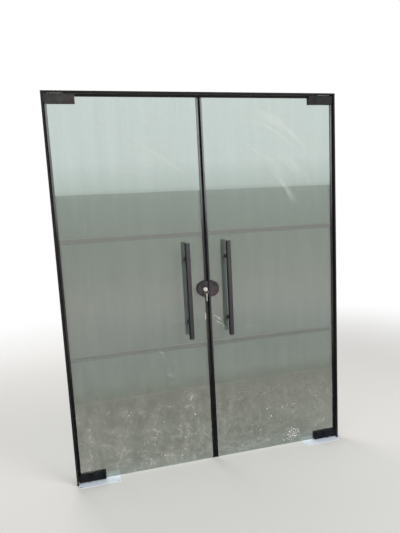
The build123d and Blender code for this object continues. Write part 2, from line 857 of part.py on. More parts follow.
def lock_round(radius, start, end):
    # Round bar on the lock's axis between two distances in front of the glass's middle plane
    with BuildSketch(Plane.XZ.offset(start)) as disc:
        with Locations((-lock_x, lock_z)):
            Circle(radius)
    extrude(disc.sketch, amount=end - start)


make_lock_cover(-1, -1, cylinder_radius + screw_clearance, "lock_outer_cover")
make_lock_cover(-1, 1, tail_radius + screw_clearance, "lock_inner_cover")
make_lock_cover(1, -1, 0, "strike_outer_cover")
make_lock_cover(1, 1, 0, "strike_inner_cover")
make_lock_screws(-1, "lock_screws")
make_lock_screws(1, "strike_screws")

with BuildPart() as lock_case:
    case_block(-1)
    bolt_channel(-1, bolt_back + screw_clearance)
    pinion_hole = pinion_radius + tooth_reach + pinion_room
    with BuildSketch(Plane.XZ.offset(patch_back)):
        with Locations((-lock_x, lock_z)):
            Circle(pinion_hole)
    extrude(amount=-patch_back - bolt_thickness / 2 - screw_clearance, mode=Mode.SUBTRACT)
    with BuildSketch(Plane.XZ):
        with Locations((-lock_x, lock_z)):
            Circle(tail_radius + running_clearance)
    extrude(amount=-patch_back, mode=Mode.SUBTRACT)
save(lock_case, "lock_case")

with BuildPart() as strike_case:
    case_block(1)
    bolt_channel(1, strike_end)
save(strike_case, "strike_case")

with BuildPart() as lock_cylinder:
    lock_round(cylinder_radius, patch_back, cylinder_front)
    fillet(lock_cylinder.faces().sort_by(Axis.Y)[0].edges(), cylinder_edge)
    with BuildSketch(Plane.XZ.offset(patch_back)):
        with Locations((-lock_x, lock_z)):
            Circle(plug_radius + running_clearance)
    extrude(amount=cylinder_front - patch_back, mode=Mode.SUBTRACT)
save(lock_cylinder, "lock_cylinder")

# Plug, pinion and tail are one turned piece, so the key and the knob move the bolt together
with BuildPart() as key_plug:
    lock_round(plug_radius, plug_back, cylinder_front)
    lock_round(neck_radius, bolt_thickness / 2, plug_back)
    lock_round(pinion_radius - tooth_root, -bolt_thickness / 2, bolt_thickness / 2)
    lock_round(tail_radius, -lock_front, -bolt_thickness / 2)
    with BuildSketch(Plane.XZ.offset(-bolt_thickness / 2)):
        with Locations((-lock_x, lock_z)):
            with PolarLocations(0, pinion_teeth, start_angle=-90):
                Polygon(
                    (pinion_radius - 2 * tooth_root, -tooth_half - 2 * tooth_root * tooth_spread),
                    (pinion_radius + tooth_reach, -tooth_half + tooth_reach * tooth_spread),
                    (pinion_radius + tooth_reach, tooth_half - tooth_reach * tooth_spread),
                    (pinion_radius - 2 * tooth_root, tooth_half + 2 * tooth_root * tooth_spread),
                    align=None,
                )
    extrude(amount=bolt_thickness)
    with BuildSketch(Plane.XZ.offset(-lock_front)):
        with Locations((-lock_x, lock_z)):
            Rectangle(tail_square, tail_square)
    extrude(amount=lock_front - tail_end)
    with BuildSketch(Plane.XZ.offset(cylinder_front - blade_insertion - key_slack)):
        with Locations((-lock_x, lock_z)):
            Rectangle(key_thickness + 2 * key_slack, blade_width + 2 * key_slack)
    extrude(amount=blade_insertion + key_slack, mode=Mode.SUBTRACT)
save(key_plug, "key_plug")

with BuildPart() as thumbturn:
    lock_round(knob_radius, -lock_front - knob_gap - knob_base, -lock_front - knob_gap)
    with BuildSketch(Plane.XZ.offset(-lock_front - knob_gap - knob_base)):
        with Locations((-lock_x, lock_z)):
            RectangleRounded(knob_wing_width, knob_wing_height, knob_wing_corner)
    extrude(amount=-knob_wing_reach)
    fillet(thumbturn.faces().sort_by(Axis.Y)[-1].edges(), knob_wing_edge)
    with BuildSketch(Plane.XZ.offset(-lock_front - knob_gap)):
        with Locations((-lock_x, lock_z)):
            Rectangle(tail_square, tail_square)
    extrude(amount=lock_front + knob_gap - tail_end, mode=Mode.SUBTRACT)
save(thumbturn, "thumbturn")

with BuildPart() as lock_bolt:
    with BuildSketch(Plane.XZ):
        with Locations((-(bolt_front + bolt_back) / 2, (bolt_bottom + rack_root) / 2)):
            Rectangle(bolt_back - bolt_front, bolt_height)
        first_tooth = -lock_x + 1.5 * tooth_pitch
        with Locations(*[(first_tooth - place * tooth_pitch, lock_z) for place in range(rack_teeth)]):
            Polygon(
                (-tooth_half - tooth_root * tooth_spread, -pinion_radius - tooth_root),
                (tooth_half + tooth_root * tooth_spread, -pinion_radius - tooth_root),
                (tooth_half - tooth_reach * tooth_spread, -pinion_radius + tooth_reach),
                (-tooth_half + tooth_reach * tooth_spread, -pinion_radius + tooth_reach),
                align=None,
            )
    extrude(amount=bolt_thickness / 2, both=True)
    chamfer(lock_bolt.faces().sort_by(Axis.X)[-1].edges(), bolt_lead)
save(lock_bolt, "lock_bolt")


# Keys: flat, with a round bow, the ring's hole at its outer end and cuts along one edge
def make_key(hole_z, direction, name):
    hole_plane = Plane(origin=(-lock_x, -key_hole_y, hole_z), x_dir=direction, z_dir=(1, 0, 0))
    bow_end = bow_hole_shift + bow_radius
    tip = bow_end + blade_length
    half = blade_width / 2
    with BuildPart() as key:
        with BuildSketch(hole_plane):
            with Locations((bow_hole_shift, 0)):
                Circle(bow_radius)
            Polygon(
                (bow_hole_shift, -half),
                (tip - blade_tip, -half),
                (tip, -half + blade_tip),
                (tip, half - blade_tip),
                (tip - blade_tip, half),
                (bow_hole_shift, half),
                align=None,
            )
            Circle(bow_hole, mode=Mode.SUBTRACT)
            for place, depth in enumerate(cut_depths):
                with Locations((tip - blade_tip - (place + 1) * cut_pitch, -half)):
                    Polygon((-cut_pitch / 2, 0), (0, depth), (cut_pitch / 2, 0), align=None, mode=Mode.SUBTRACT)
        extrude(amount=key_thickness / 2, both=True)
    save(key, name)


make_key(lock_z, (0, 1, 0), "key")
make_key(spare_hole_z, (0, 0, -1), "spare_key")

with BuildPart() as split_ring:
    with Locations((-lock_x, -key_hole_y - ring_turn, ring_z), (-lock_x, -key_hole_y + ring_turn, ring_z)):
        Torus(ring_radius, ring_wire, rotation=(90, 0, 0))
save(split_ring, "split_ring")
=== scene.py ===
import math

import bmesh
import bpy
from mathutils import Matrix, Vector


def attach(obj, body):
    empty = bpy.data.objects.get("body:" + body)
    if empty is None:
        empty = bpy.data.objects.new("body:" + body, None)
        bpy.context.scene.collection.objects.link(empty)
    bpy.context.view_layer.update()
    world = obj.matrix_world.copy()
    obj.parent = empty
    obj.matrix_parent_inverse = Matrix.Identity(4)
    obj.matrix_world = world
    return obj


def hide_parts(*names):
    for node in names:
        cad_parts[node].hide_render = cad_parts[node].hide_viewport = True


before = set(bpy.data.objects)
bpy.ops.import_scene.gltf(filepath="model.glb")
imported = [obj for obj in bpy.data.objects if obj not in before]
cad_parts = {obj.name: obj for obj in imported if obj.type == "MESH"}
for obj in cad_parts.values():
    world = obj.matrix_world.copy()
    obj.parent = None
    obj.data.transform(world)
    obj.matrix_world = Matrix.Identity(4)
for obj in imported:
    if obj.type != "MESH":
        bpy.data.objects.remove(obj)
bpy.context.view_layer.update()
print("frame loaded,", len(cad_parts), "nodes")

sides = (("left", -1), ("right", 1))


# Camera: found from the corners of the doorway, in pixels of the photograph
cameraValues = {
    "place": (-0.679, -2.670, 1.671), "down": 7.67, "toRight": 13.43, "roll": 2.93,
    "focalPixels": 440.0, "longSidePixels": 533.0, "sensorWidth": 36.0,
}


def makeCamera(values):
    data = bpy.data.cameras.new("camera")
    data.sensor_width = values["sensorWidth"]
    data.lens = values["sensorWidth"] * values["focalPixels"] / values["longSidePixels"]
    camera = bpy.data.objects.new("camera", data)
    bpy.context.scene.collection.objects.link(camera)
    turn = (
        Matrix.Rotation(math.radians(-values["toRight"]), 4, "Z")
        @ Matrix.Rotation(math.radians(-values["down"]), 4, "X")
        @ Matrix.Rotation(math.radians(values["roll"]), 4, "Y")
        @ Matrix.Rotation(math.radians(90), 4, "X")
    )
    camera.matrix_world = Matrix.Translation(values["place"]) @ turn
    bpy.context.scene.camera = camera


makeCamera(cameraValues)
print("camera placed")


# Short helpers for node trees
def isSocket(value):
    return isinstance(value, bpy.types.NodeSocket)


def addNode(tree, kind, inputs=None, **settings):
    made = tree.nodes.new(kind)
    for name, value in settings.items():
        setattr(made, name, value)
    for key, value in (inputs or {}).items():
        if isSocket(value):
            tree.links.new(value, made.inputs[key])
        else:
            made.inputs[key].default_value = value
    return made


def calc(tree, operation, a, b=0.0, clamp=False):
    return addNode(tree, "ShaderNodeMath", {0: a, 1: b}, operation=operation, use_clamp=clamp).outputs[0]


def plus(tree, a, b, clamp=False):
    return calc(tree, "ADD", a, b, clamp)


def minus(tree, a, b):
    return calc(tree, "SUBTRACT", a, b)


def times(tree, a, b, clamp=False):
    return calc(tree, "MULTIPLY", a, b, clamp)


def about(tree, value, middle, swing, clamp=False):
    # A value from 0 to 1 turned into a swing about the middle
    return plus(tree, times(tree, value, swing), middle - swing / 2, clamp)


def vectorCalc(tree, operation, a, b=(0.0, 0.0, 0.0)):
    made = addNode(tree, "ShaderNodeVectorMath", {0: a, 1: b}, operation=operation)
    return made.outputs["Value" if operation in ("LENGTH", "DOT_PRODUCT") else "Vector"]


def axes(tree, vector):
    return addNode(tree, "ShaderNodeSeparateXYZ", {0: vector}).outputs


def stretched(tree, place, scale):
    return addNode(tree, "ShaderNodeMapping", {"Vector": place, "Scale": scale}).outputs[0]


def spread(tree, value, low, high, toLow=0.0, toHigh=1.0, smooth=True):
    kind = "SMOOTHSTEP" if smooth else "LINEAR"
    inputs = {"Value": value, "From Min": low, "From Max": high, "To Min": toLow, "To Max": toHigh}
    return addNode(tree, "ShaderNodeMapRange", inputs, interpolation_type=kind).outputs["Result"]


def noise(tree, place, scale, detail=3.0, roughness=0.55):
    inputs = {"Vector": place, "Scale": scale, "Detail": detail, "Roughness": roughness, "Distortion": 0.0}
    return addNode(tree, "ShaderNodeTexNoise", inputs).outputs["Fac"]


def opaque(colour):
    return colour if isSocket(colour) else (*colour, 1.0)


def blendColour(tree, amount, a, b):
    inputs = {0: amount, 6: opaque(a), 7: opaque(b)}
    return addNode(tree, "ShaderNodeMix", inputs, data_type="RGBA").outputs[2]


def tinted(tree, colour, tone):
    # A colour made lighter or darker by a tone about 1
    return addNode(tree, "ShaderNodeVectorMath", {0: colour, "Scale": tone}, operation="SCALE").outputs[0]


def startGroup(name, outputs, **inputs):
    # Every group reads a place. The other inputs are numbers, or vectors where the value is a tuple
    tree = bpy.data.node_groups.new(name, "ShaderNodeTree")
    for label, value in {"Place": (0.0, 0.0, 0.0), **inputs}.items():
        kind = "NodeSocketVector" if isinstance(value, tuple) else "NodeSocketFloat"
        tree.interface.new_socket(label, in_out="INPUT", socket_type=kind).default_value = value
    for label in outputs:
        tree.interface.new_socket(label, in_out="OUTPUT", socket_type="NodeSocketFloat")
    given = tree.nodes.new("NodeGroupInput").outputs
    return tree, given, tree.nodes.new("NodeGroupOutput").inputs


def useGroup(tree, name, **inputs):
    return addNode(tree, "ShaderNodeGroup", inputs, node_tree=bpy.data.node_groups[name]).outputs


# Effects that several finishes share
def makePaintGrain():
    tree, given, out = startGroup("paintGrain", ("Height", "Tone"), Scale=900.0, Mottle=0.1)
    fine = noise(tree, given["Place"], given["Scale"], 2.0)
    broad = noise(tree, given["Place"], times(tree, given["Scale"], 0.02), 4.0, 0.6)
    tree.links.new(fine, out["Height"])
    swing = times(tree, minus(tree, broad, 0.5), times(tree, given["Mottle"], 4.0))
    tree.links.new(plus(tree, swing, 1.0), out["Tone"])


def makeBrushedLines():
    tree, given, out = startGroup("brushedLines", ("Height", "Tone"), Stretch=(4.0, 900.0, 900.0), Depth=0.15)
    along = vectorCalc(tree, "MULTIPLY", given["Place"], given["Stretch"])
    lines = noise(tree, along, 1.0, 4.0, 0.7)
    tree.links.new(lines, out["Height"])
    swing = times(tree, minus(tree, lines, 0.5), times(tree, given["Depth"], 2.0))
    tree.links.new(plus(tree, swing, 1.0), out["Tone"])


def makeSettledDust():
    # More dust and splashed dirt towards the floor
    tree, given, out = startGroup("settledDust", ("Mask",), Low=0.0, High=0.6, Scale=22.0, Amount=0.5)
    fall = spread(tree, axes(tree, given["Place"])["Z"], given["Low"], given["High"], 1.0, 0.0)
    cloud = spread(tree, noise(tree, given["Place"], given["Scale"], 6.0, 0.65), 0.32, 0.72)
    veil = times(tree, plus(tree, times(tree, fall, 0.9), 0.1), cloud)
    tree.links.new(times(tree, veil, given["Amount"], True), out["Mask"])


def makeScuffs():
    # Short fine scratches that cross each other
    tree, given, out = startGroup("scuffs", ("Mask",), Scale=60.0, Amount=0.5)
    bent = noise(tree, given["Place"], times(tree, given["Scale"], 0.35), 2.0)
    inputs = {"Vector": given["Place"], "Scale": given["Scale"], "Randomness": 1.0}
    cells = addNode(tree, "ShaderNodeTexVoronoi", inputs, feature="DISTANCE_TO_EDGE").outputs["Distance"]
    thin = spread(tree, cells, 0.0, 0.035, 1.0, 0.0)
    some = spread(tree, bent, 0.55, 0.7)
    tree.links.new(times(tree, times(tree, thin, some), given["Amount"], True), out["Mask"])


def makeEdgeWear():
    # Coating rubbed thin where a rounded normal leaves the flat one
    tree, given, out = startGroup("edgeWear", ("Mask",), Radius=0.0012, Amount=0.6)
    rounded = addNode(tree, "ShaderNodeBevel", {"Radius": given["Radius"]}, samples=4).outputs["Normal"]
    flat = addNode(tree, "ShaderNodeNewGeometry").outputs["Normal"]
    edge = spread(tree, vectorCalc(tree, "DOT_PRODUCT", rounded, flat), 0.995, 0.85, 0.0, 1.0)
    patchy = spread(tree, noise(tree, given["Place"], 160.0, 5.0, 0.7), 0.38, 0.66)
    tree.links.new(times(tree, times(tree, edge, patchy), given["Amount"], True), out["Mask"])


def makeTurnedRings():
    # Fine rings about the piece's own axis, which runs along Y through the place's zero
    tree, given, out = startGroup("turnedRings", ("Height", "Tone"), Pitch=0.0016, Depth=0.2)
    radius = vectorCalc(tree, "LENGTH", vectorCalc(tree, "MULTIPLY", given["Place"], (1.0, 0.0, 1.0)))
    turns = times(tree, calc(tree, "DIVIDE", radius, given["Pitch"]), math.tau)
    wave = times(tree, calc(tree, "SINE", turns), 0.5)
    tree.links.new(wave, out["Height"])
    tree.links.new(plus(tree, times(tree, wave, given["Depth"]), 1.0), out["Tone"])


def makeWipeArcs():
    # Strokes that a cloth or a hand leaves: streaks bent round a centre, between two radii and two angles
    tree, given, out = startGroup(
        "wipeArcs", ("Mask",), Centre=(0.0, 0.0, 0.0), Toward=0.0, Width=1.0,
        Inner=0.1, Outer=0.3, Scale=60.0, Gap=0.5, Seed=0.0,
    )
    local = {"Vector": vectorCalc(tree, "SUBTRACT", given["Place"], given["Centre"]), "Angle": given["Toward"]}
    parts = axes(tree, addNode(tree, "ShaderNodeVectorRotate", local, rotation_type="Y_AXIS").outputs[0])
    angle = calc(tree, "ARCTAN2", parts["Z"], parts["X"])
    squares = plus(tree, times(tree, parts["X"], parts["X"]), times(tree, parts["Z"], parts["Z"]))
    away = calc(tree, "SQRT", squares)
    bent = {"X": times(tree, away, given["Scale"]), "Y": times(tree, angle, 1.2), "Z": given["Seed"]}
    streak = noise(tree, addNode(tree, "ShaderNodeCombineXYZ", bent).outputs[0], 1.0, 3.0, 0.5)
    thin = spread(tree, streak, given["Gap"], plus(tree, given["Gap"], 0.2))
    sector = spread(tree, calc(tree, "ABSOLUTE", angle), times(tree, given["Width"], 0.5), given["Width"], 1.0, 0.0)
    soft = times(tree, minus(tree, given["Outer"], given["Inner"]), 0.35)
    rise = spread(tree, away, given["Inner"], plus(tree, given["Inner"], soft))
    fall = spread(tree, away, minus(tree, given["Outer"], soft), given["Outer"], 1.0, 0.0)
    mask = times(tree, times(tree, thin, sector), times(tree, rise, fall))
    tree.links.new(mask, out["Mask"])


groupMakers = (
    makePaintGrain, makeBrushedLines, makeSettledDust, makeScuffs, makeEdgeWear, makeTurnedRings, makeWipeArcs,
)
for makeGroup in groupMakers:
    makeGroup()
print("shader groups built")


# Finishes
plainSockets = {
    "metallic": "Metallic", "roughness": "Roughness", "specular": "Specular IOR Level",
    "index": "IOR", "transmission": "Transmission Weight",
}


def startFinish(name):
    finish = bpy.data.materials.new(name)
    finish.use_nodes = True
    tree = finish.node_tree
    place = tree.nodes.new("ShaderNodeTexCoord").outputs["Object"]
    return finish, tree, tree.nodes["Principled BSDF"], place


def setPlain(shader, values, *keys):
    for key in keys:
        shader.inputs[plainSockets[key]].default_value = values[key]


def setBump(tree, shader, height, values):
    inputs = {"Height": height, "Strength": values["bump"], "Distance": values["bumpDepth"]}
    tree.links.new(addNode(tree, "ShaderNodeBump", inputs).outputs["Normal"], shader.inputs["Normal"])


def normalAxes(tree):
    return axes(tree, tree.nodes["Texture Coordinate"].outputs["Normal"])


def mixSurface(tree, share, first, second):
    mixed = addNode(tree, "ShaderNodeMixShader", {0: share, 1: first.outputs[0], 2: second.outputs[0]})
    tree.links.new(mixed.outputs[0], tree.nodes["Material Output"].inputs["Surface"])


def wornColour(tree, place, colour, values):
    # The tone under the coating shows at rubbed edges and in scuffs
    wear = useGroup(tree, "edgeWear", Place=place, Radius=values["wearRadius"], Amount=values["wear"])["Mask"]
    scuff = useGroup(tree, "scuffs", Place=place, Scale=values["scuffScale"], Amount=values["scuff"])["Mask"]
    return blendColour(tree, calc(tree, "MAXIMUM", wear, scuff), colour, values["worn"])


# Painted light: a coating's colour goes over to a lighter, lit colour with the height, less so on the right
coatedFinishes = {
    "frameBlack": {
        "colour": (0.010, 0.010, 0.013), "paintedLightColour": (0.014, 0.012, 0.011), "worn": (0.16, 0.16, 0.17),
        "dust": (0.20, 0.19, 0.17), "dustAmount": 0.30, "dustHigh": 0.30, "metallic": 0.0, "roughness": 0.45,
        "specular": 0.16, "grain": 1400.0, "mottle": 0.16, "bump": 0.25, "bumpDepth": 0.0002, "wear": 0.35,
        "wearRadius": 0.0008, "scuff": 0.16, "scuffScale": 34.0,
    },
    "patchBlack": {
        "colour": (0.003, 0.004, 0.008), "paintedLightColour": (0.045, 0.044, 0.041), "worn": (0.22, 0.22, 0.23),
        "dust": (0.20, 0.20, 0.19), "dustAmount": 0.08, "dustHigh": 0.4, "metallic": 0.0, "roughness": 0.42,
        "specular": 0.08, "grain": 1700.0, "mottle": 0.40, "bump": 0.30, "bumpDepth": 0.0002, "wear": 0.45,
        "wearRadius": 0.0010, "scuff": 0.12, "scuffScale": 48.0,
    },
    "lockBronze": {
        "colour": (0.048, 0.041, 0.045), "worn": (0.15, 0.12, 0.11),
        "dust": (0.16, 0.15, 0.14), "dustAmount": 0.15, "dustHigh": 2.0, "metallic": 0.2, "roughness": 0.46,
        "specular": 0.25, "grain": 1100.0, "mottle": 0.70, "bump": 0.35, "bumpDepth": 0.0002, "wear": 0.5,
        "wearRadius": 0.0016, "scuff": 0.3, "scuffScale": 70.0,
        "rings": {"toAxis": (0.0, 0.0, -1.158), "pitch": 0.0052, "depth": 0.5, "height": 1.6},
    },
    "closerIron": {
        "colour": (0.17, 0.18, 0.19), "worn": (0.42, 0.42, 0.42),
        "dust": (0.33, 0.30, 0.26), "dustAmount": 0.5, "dustHigh": 0.4, "metallic": 0.0, "roughness": 0.62,
        "specular": 0.5, "grain": 420.0, "mottle": 0.2, "bump": 0.8, "bumpDepth": 0.0002, "wear": 0.6,
        "wearRadius": 0.0015, "scuff": 0.2, "scuffScale": 40.0,
    },
}
coatedShared = {
    "paintedLightHeights": (0.2, 1.9), "paintedLightAcross": (-0.6, 0.6), "paintedLightRight": 0.5, "grainRough": 0.12, "dustRough": 0.35,
}


def makeCoated(name, values, shared):
    finish, tree, shader, place = startFinish(name)
    grain = useGroup(tree, "paintGrain", Place=place, Scale=values["grain"], Mottle=values["mottle"])
    dust = useGroup(tree, "settledDust", Place=place, High=values["dustHigh"], Amount=values["dustAmount"])["Mask"]
    tone, height = grain["Tone"], grain["Height"]
    if "rings" in values:
        rings = values["rings"]
        centred = addNode(tree, "ShaderNodeMapping", {"Vector": place, "Location": rings["toAxis"]}).outputs[0]
        turned = useGroup(tree, "turnedRings", Place=centred, Pitch=rings["pitch"], Depth=rings["depth"])
        tone = times(tree, tone, turned["Tone"])
        height = plus(tree, height, times(tree, turned["Height"], rings["height"]))
    parts = axes(tree, place)
    # Painted light: the colour lightens towards the top and the left, as if more light fell there
    upward = spread(tree, parts["Z"], *shared["paintedLightHeights"])
    leftward = spread(tree, parts["X"], *shared["paintedLightAcross"], 1.0, shared["paintedLightRight"])
    paintedLightColour = values.get("paintedLightColour", values["colour"])
    colour = tinted(tree, blendColour(tree, times(tree, upward, leftward), values["colour"], paintedLightColour), tone)
    colour = blendColour(tree, dust, wornColour(tree, place, colour, values), values["dust"])
    tree.links.new(colour, shader.inputs["Base Color"])
    rough = about(tree, grain["Height"], values["roughness"], shared["grainRough"])
    rough = plus(tree, rough, times(tree, dust, shared["dustRough"]), True)
    tree.links.new(rough, shader.inputs["Roughness"])
    setPlain(shader, values, "metallic", "specular")
    setBump(tree, shader, height, values)
    return finish


pullFinish = {
    "colour": (0.060, 0.056, 0.062), "worn": (0.20, 0.18, 0.18), "metallic": 0.35, "roughness": 0.42,
    "specular": 0.25, "stretch": (900.0, 900.0, 7.0), "depth": 0.16, "grain": 1200.0, "mottle": 0.14, "bump": 0.12,
    "bumpDepth": 0.0001, "wear": 0.4, "wearRadius": 0.0012, "scuff": 0.25, "scuffScale": 52.0, "lineRough": 0.2,
    "handLow": (0.94, 1.06), "handHigh": (1.28, 1.40), "handShine": 0.10,
    "toneHeights": (0.90, 1.40), "tones": (0.78, 1.12), "shadedFlankFacing": (-0.78, -0.48), "paintedFlankShade": 0.20,
}


def makePull(name, values):
    # Satin bar, darker towards the bottom, with painted shade on its left flanks, polished a little where hands hold
    # it
    finish, tree, shader, place = startFinish(name)
    lines = useGroup(tree, "brushedLines", Place=place, Stretch=values["stretch"], Depth=values["depth"])
    grain = useGroup(tree, "paintGrain", Place=place, Scale=values["grain"], Mottle=values["mottle"])
    height = axes(tree, place)["Z"]
    held = spread(tree, height, *values["handLow"])
    held = times(tree, held, spread(tree, height, *values["handHigh"], 1.0, 0.0))
    # Darker towards the bottom, lighter towards the top
    rise = spread(tree, height, *values["toneHeights"], *values["tones"])
    # Painted shade: faces turned towards -X are darkened as a shaded side
    paintedFlank = spread(tree, normalAxes(tree)["X"], *values["shadedFlankFacing"], values["paintedFlankShade"], 1.0)
    tone = times(tree, times(tree, times(tree, lines["Tone"], grain["Tone"]), rise), paintedFlank)
    colour = wornColour(tree, place, tinted(tree, values["colour"], tone), values)
    tree.links.new(colour, shader.inputs["Base Color"])
    rough = minus(tree, values["roughness"], times(tree, held, values["handShine"]))
    rough = plus(tree, rough, times(tree, minus(tree, lines["Height"], 0.5), values["lineRough"]), True)
    tree.links.new(rough, shader.inputs["Roughness"])
    setPlain(shader, values, "metallic", "specular")
    setBump(tree, shader, plus(tree, lines["Height"], grain["Height"]), values)
    return finish


metalFinishes = {
    "coverSteel": {
        # Partly the steel's own pale colour, partly a painted sky reflection that makes it bright and bluish
        "colour": (0.83, 0.91, 1.0), "stain": (0.52, 0.52, 0.52), "metallic": 0.20, "roughness": 0.45,
        "stretch": (6.0, 700.0, 700.0), "depth": 0.14, "stainScale": 26.0, "stainAmount": 0.25, "scuff": 0.3,
        "bump": 0.20, "bumpDepth": 0.0001,
    },
    "machinedSteel": {
        "colour": (0.50, 0.51, 0.52), "stain": (0.20, 0.16, 0.12), "metallic": 0.95, "roughness": 0.30,
        "stretch": (500.0, 500.0, 60.0), "depth": 0.15, "stainScale": 90.0, "stainAmount": 0.30, "scuff": 0.2,
        "bump": 0.15, "bumpDepth": 0.0001,
    },
    "boxSteel": {
        "colour": (0.42, 0.43, 0.44), "stain": (0.27, 0.22, 0.17), "metallic": 0.6, "roughness": 0.55,
        "stretch": (60.0, 60.0, 60.0), "depth": 0.25, "stainScale": 14.0, "stainAmount": 0.55, "scuff": 0.2,
        "bump": 0.20, "bumpDepth": 0.0001,
    },
    "insertAlloy": {
        "colour": (0.58, 0.59, 0.60), "stain": (0.35, 0.35, 0.34), "metallic": 0.9, "roughness": 0.38,
        "stretch": (8.0, 400.0, 700.0), "depth": 0.15, "stainScale": 50.0, "stainAmount": 0.25, "scuff": 0.2,
        "bump": 0.20, "bumpDepth": 0.0001,
    },
    "nickelPlate": {
        "colour": (0.95, 0.92, 0.85), "stain": (0.60, 0.52, 0.40), "metallic": 0.40, "roughness": 0.30,
        "stretch": (120.0, 120.0, 260.0), "depth": 0.08, "stainScale": 160.0, "stainAmount": 0.22, "scuff": 0.35,
        "bump": 0.12, "bumpDepth": 0.0001,
    },
}
metalShared = {
    "scratch": (0.80, 0.81, 0.82), "scratchShare": 0.5, "scratchScale": 3.0, "lineRough": 0.16, "stainRough": 0.5,
}


def makeMetal(name, values, shared):
    finish, tree, shader, place = startFinish(name)
    lines = useGroup(tree, "brushedLines", Place=place, Stretch=values["stretch"], Depth=values["depth"])
    finer = values["stainScale"] * shared["scratchScale"]
    scuff = useGroup(tree, "scuffs", Place=place, Scale=finer, Amount=values["scuff"])["Mask"]
    spots = spread(tree, noise(tree, place, values["stainScale"], 6.0, 0.7), 0.48, 0.74)
    spots = times(tree, spots, values["stainAmount"])
    colour = blendColour(tree, spots, tinted(tree, values["colour"], lines["Tone"]), values["stain"])
    colour = blendColour(tree, times(tree, scuff, shared["scratchShare"]), colour, shared["scratch"])
    tree.links.new(colour, shader.inputs["Base Color"])
    rough = about(tree, lines["Height"], values["roughness"], shared["lineRough"])
    rough = plus(tree, rough, times(tree, spots, shared["stainRough"]), True)
    tree.links.new(rough, shader.inputs["Roughness"])
    setPlain(shader, values, "metallic")
    setBump(tree, shader, lines["Height"], values)
    return finish


def heightRamp(tree, height, tones):
    # Colours that follow the height, given as (height, colour) from low to high
    highest = tones[-1][0]
    ramp = addNode(tree, "ShaderNodeValToRGB", {0: calc(tree, "DIVIDE", height, highest, True)})
    stops = ramp.color_ramp.elements
    while len(stops) < len(tones):
        stops.new(1.0)
    for stop, (level, colour) in zip(stops, tones):
        stop.position, stop.color = level / highest, (*colour, 1.0)
    return ramp.outputs["Color"]


rubberFinish = {
    "core": (0.006, 0.006, 0.008), "roughness": 0.50, "specular": 0.05, "bump": 0.25, "bumpDepth": 0.0002,
    "stretch": (700.0, 700.0, 9.0), "depth": 0.3, "cloudScale": 5.0, "cloudTones": (0.8, 1.2),
    "dust": (0.20, 0.20, 0.19), "dustAmount": 0.06, "dustHigh": 1.1, "dustScale": 30.0, "dustRough": 0.5,
    "innerFlank": (0.0062, 0.0082), "outerFlank": (0.8820, 0.8832),
    "flankPaintedReflection": (
        (0.00, (0.005, 0.005, 0.006)), (0.50, (0.009, 0.009, 0.009)), (0.90, (0.046, 0.046, 0.042)),
        (1.50, (0.050, 0.046, 0.050)), (1.85, (0.17, 0.18, 0.18)), (2.20, (0.22, 0.235, 0.23)),
        (2.316, (0.22, 0.235, 0.23)), (2.324, (0.016, 0.015, 0.013)),
    ),
}


def makeRubber(name, values):
    # Extruded strip: black where it closes a gap; on the glass its flanks carry a painted reflection, greyer and
    # paler upwards, with painted shade at the very top
    finish, tree, shader, place = startFinish(name)
    lines = useGroup(tree, "brushedLines", Place=place, Stretch=values["stretch"], Depth=values["depth"])
    dust = useGroup(
        tree, "settledDust", Place=place, High=values["dustHigh"], Scale=values["dustScale"],
        Amount=values["dustAmount"],
    )["Mask"]
    parts = axes(tree, place)
    across = calc(tree, "ABSOLUTE", parts["X"])
    paintedFlank = spread(tree, across, *values["innerFlank"])
    paintedFlank = times(tree, paintedFlank, spread(tree, across, *values["outerFlank"], 1.0, 0.0))
    # Painted reflection on the flanks that pales upwards, and painted shade at the top end
    side = heightRamp(tree, parts["Z"], values["flankPaintedReflection"])
    cloud = spread(tree, noise(tree, place, values["cloudScale"], 4.0, 0.6), 0.3, 0.7, *values["cloudTones"])
    colour = tinted(tree, blendColour(tree, paintedFlank, values["core"], side), times(tree, lines["Tone"], cloud))
    tree.links.new(blendColour(tree, dust, colour, values["dust"]), shader.inputs["Base Color"])
    rough = plus(tree, values["roughness"], times(tree, dust, values["dustRough"]), True)
    tree.links.new(rough, shader.inputs["Roughness"])
    setPlain(shader, values, "specular")
    setBump(tree, shader, lines["Height"], values)
    return finish


glassFinish = {
    "roughness": 0.0, "transmission": 1.0, "index": 1.45, "bump": 0.02, "bumpDepth": 0.0006,
    "edge": (0.42, 0.62, 0.50), "shade": (0.74, 0.77, 0.75), "streaks": (16.0, 1.0, 0.9), "toneSwing": 0.16,
    # Glass tint with painted light by height: a painted reflection pales the top, the bottom is darker, the film's
    # bands are lightened and the clear stripes get painted shade. From low to high: bare glass, the film's lower,
    # middle and upper band with a clear stripe between, bare glass
    "tintsAndPaintedLight": (
        (0.000, (0.36, 0.42, 0.37)), (0.034, (0.36, 0.41, 0.365)), (0.060, (0.36, 0.40, 0.355)),
        (0.100, (0.295, 0.315, 0.28)), (0.200, (0.28, 0.30, 0.26)), (0.400, (0.24, 0.255, 0.22)),
        (0.514, (0.24, 0.257, 0.222)),
        (0.516, (0.283, 0.289, 0.240)), (0.620, (0.336, 0.363, 0.325)), (0.786, (0.334, 0.348, 0.319)),
        (0.788, (0.202, 0.221, 0.20)), (0.814, (0.202, 0.221, 0.20)),
        (0.816, (0.330, 0.342, 0.315)), (1.100, (0.340, 0.340, 0.303)), (1.400, (0.294, 0.316, 0.272)),
        (1.496, (0.293, 0.316, 0.275)),
        (1.498, (0.18, 0.19, 0.17)), (1.524, (0.18, 0.19, 0.17)),
        (1.526, (0.299, 0.322, 0.280)), (1.740, (0.334, 0.367, 0.325)), (1.774, (0.363, 0.402, 0.359)),
        (1.776, (0.36, 0.42, 0.39)), (1.800, (0.42, 0.49, 0.455)), (1.960, (0.53, 0.61, 0.58)),
        (2.400, (0.56, 0.64, 0.61)),
    ),
}


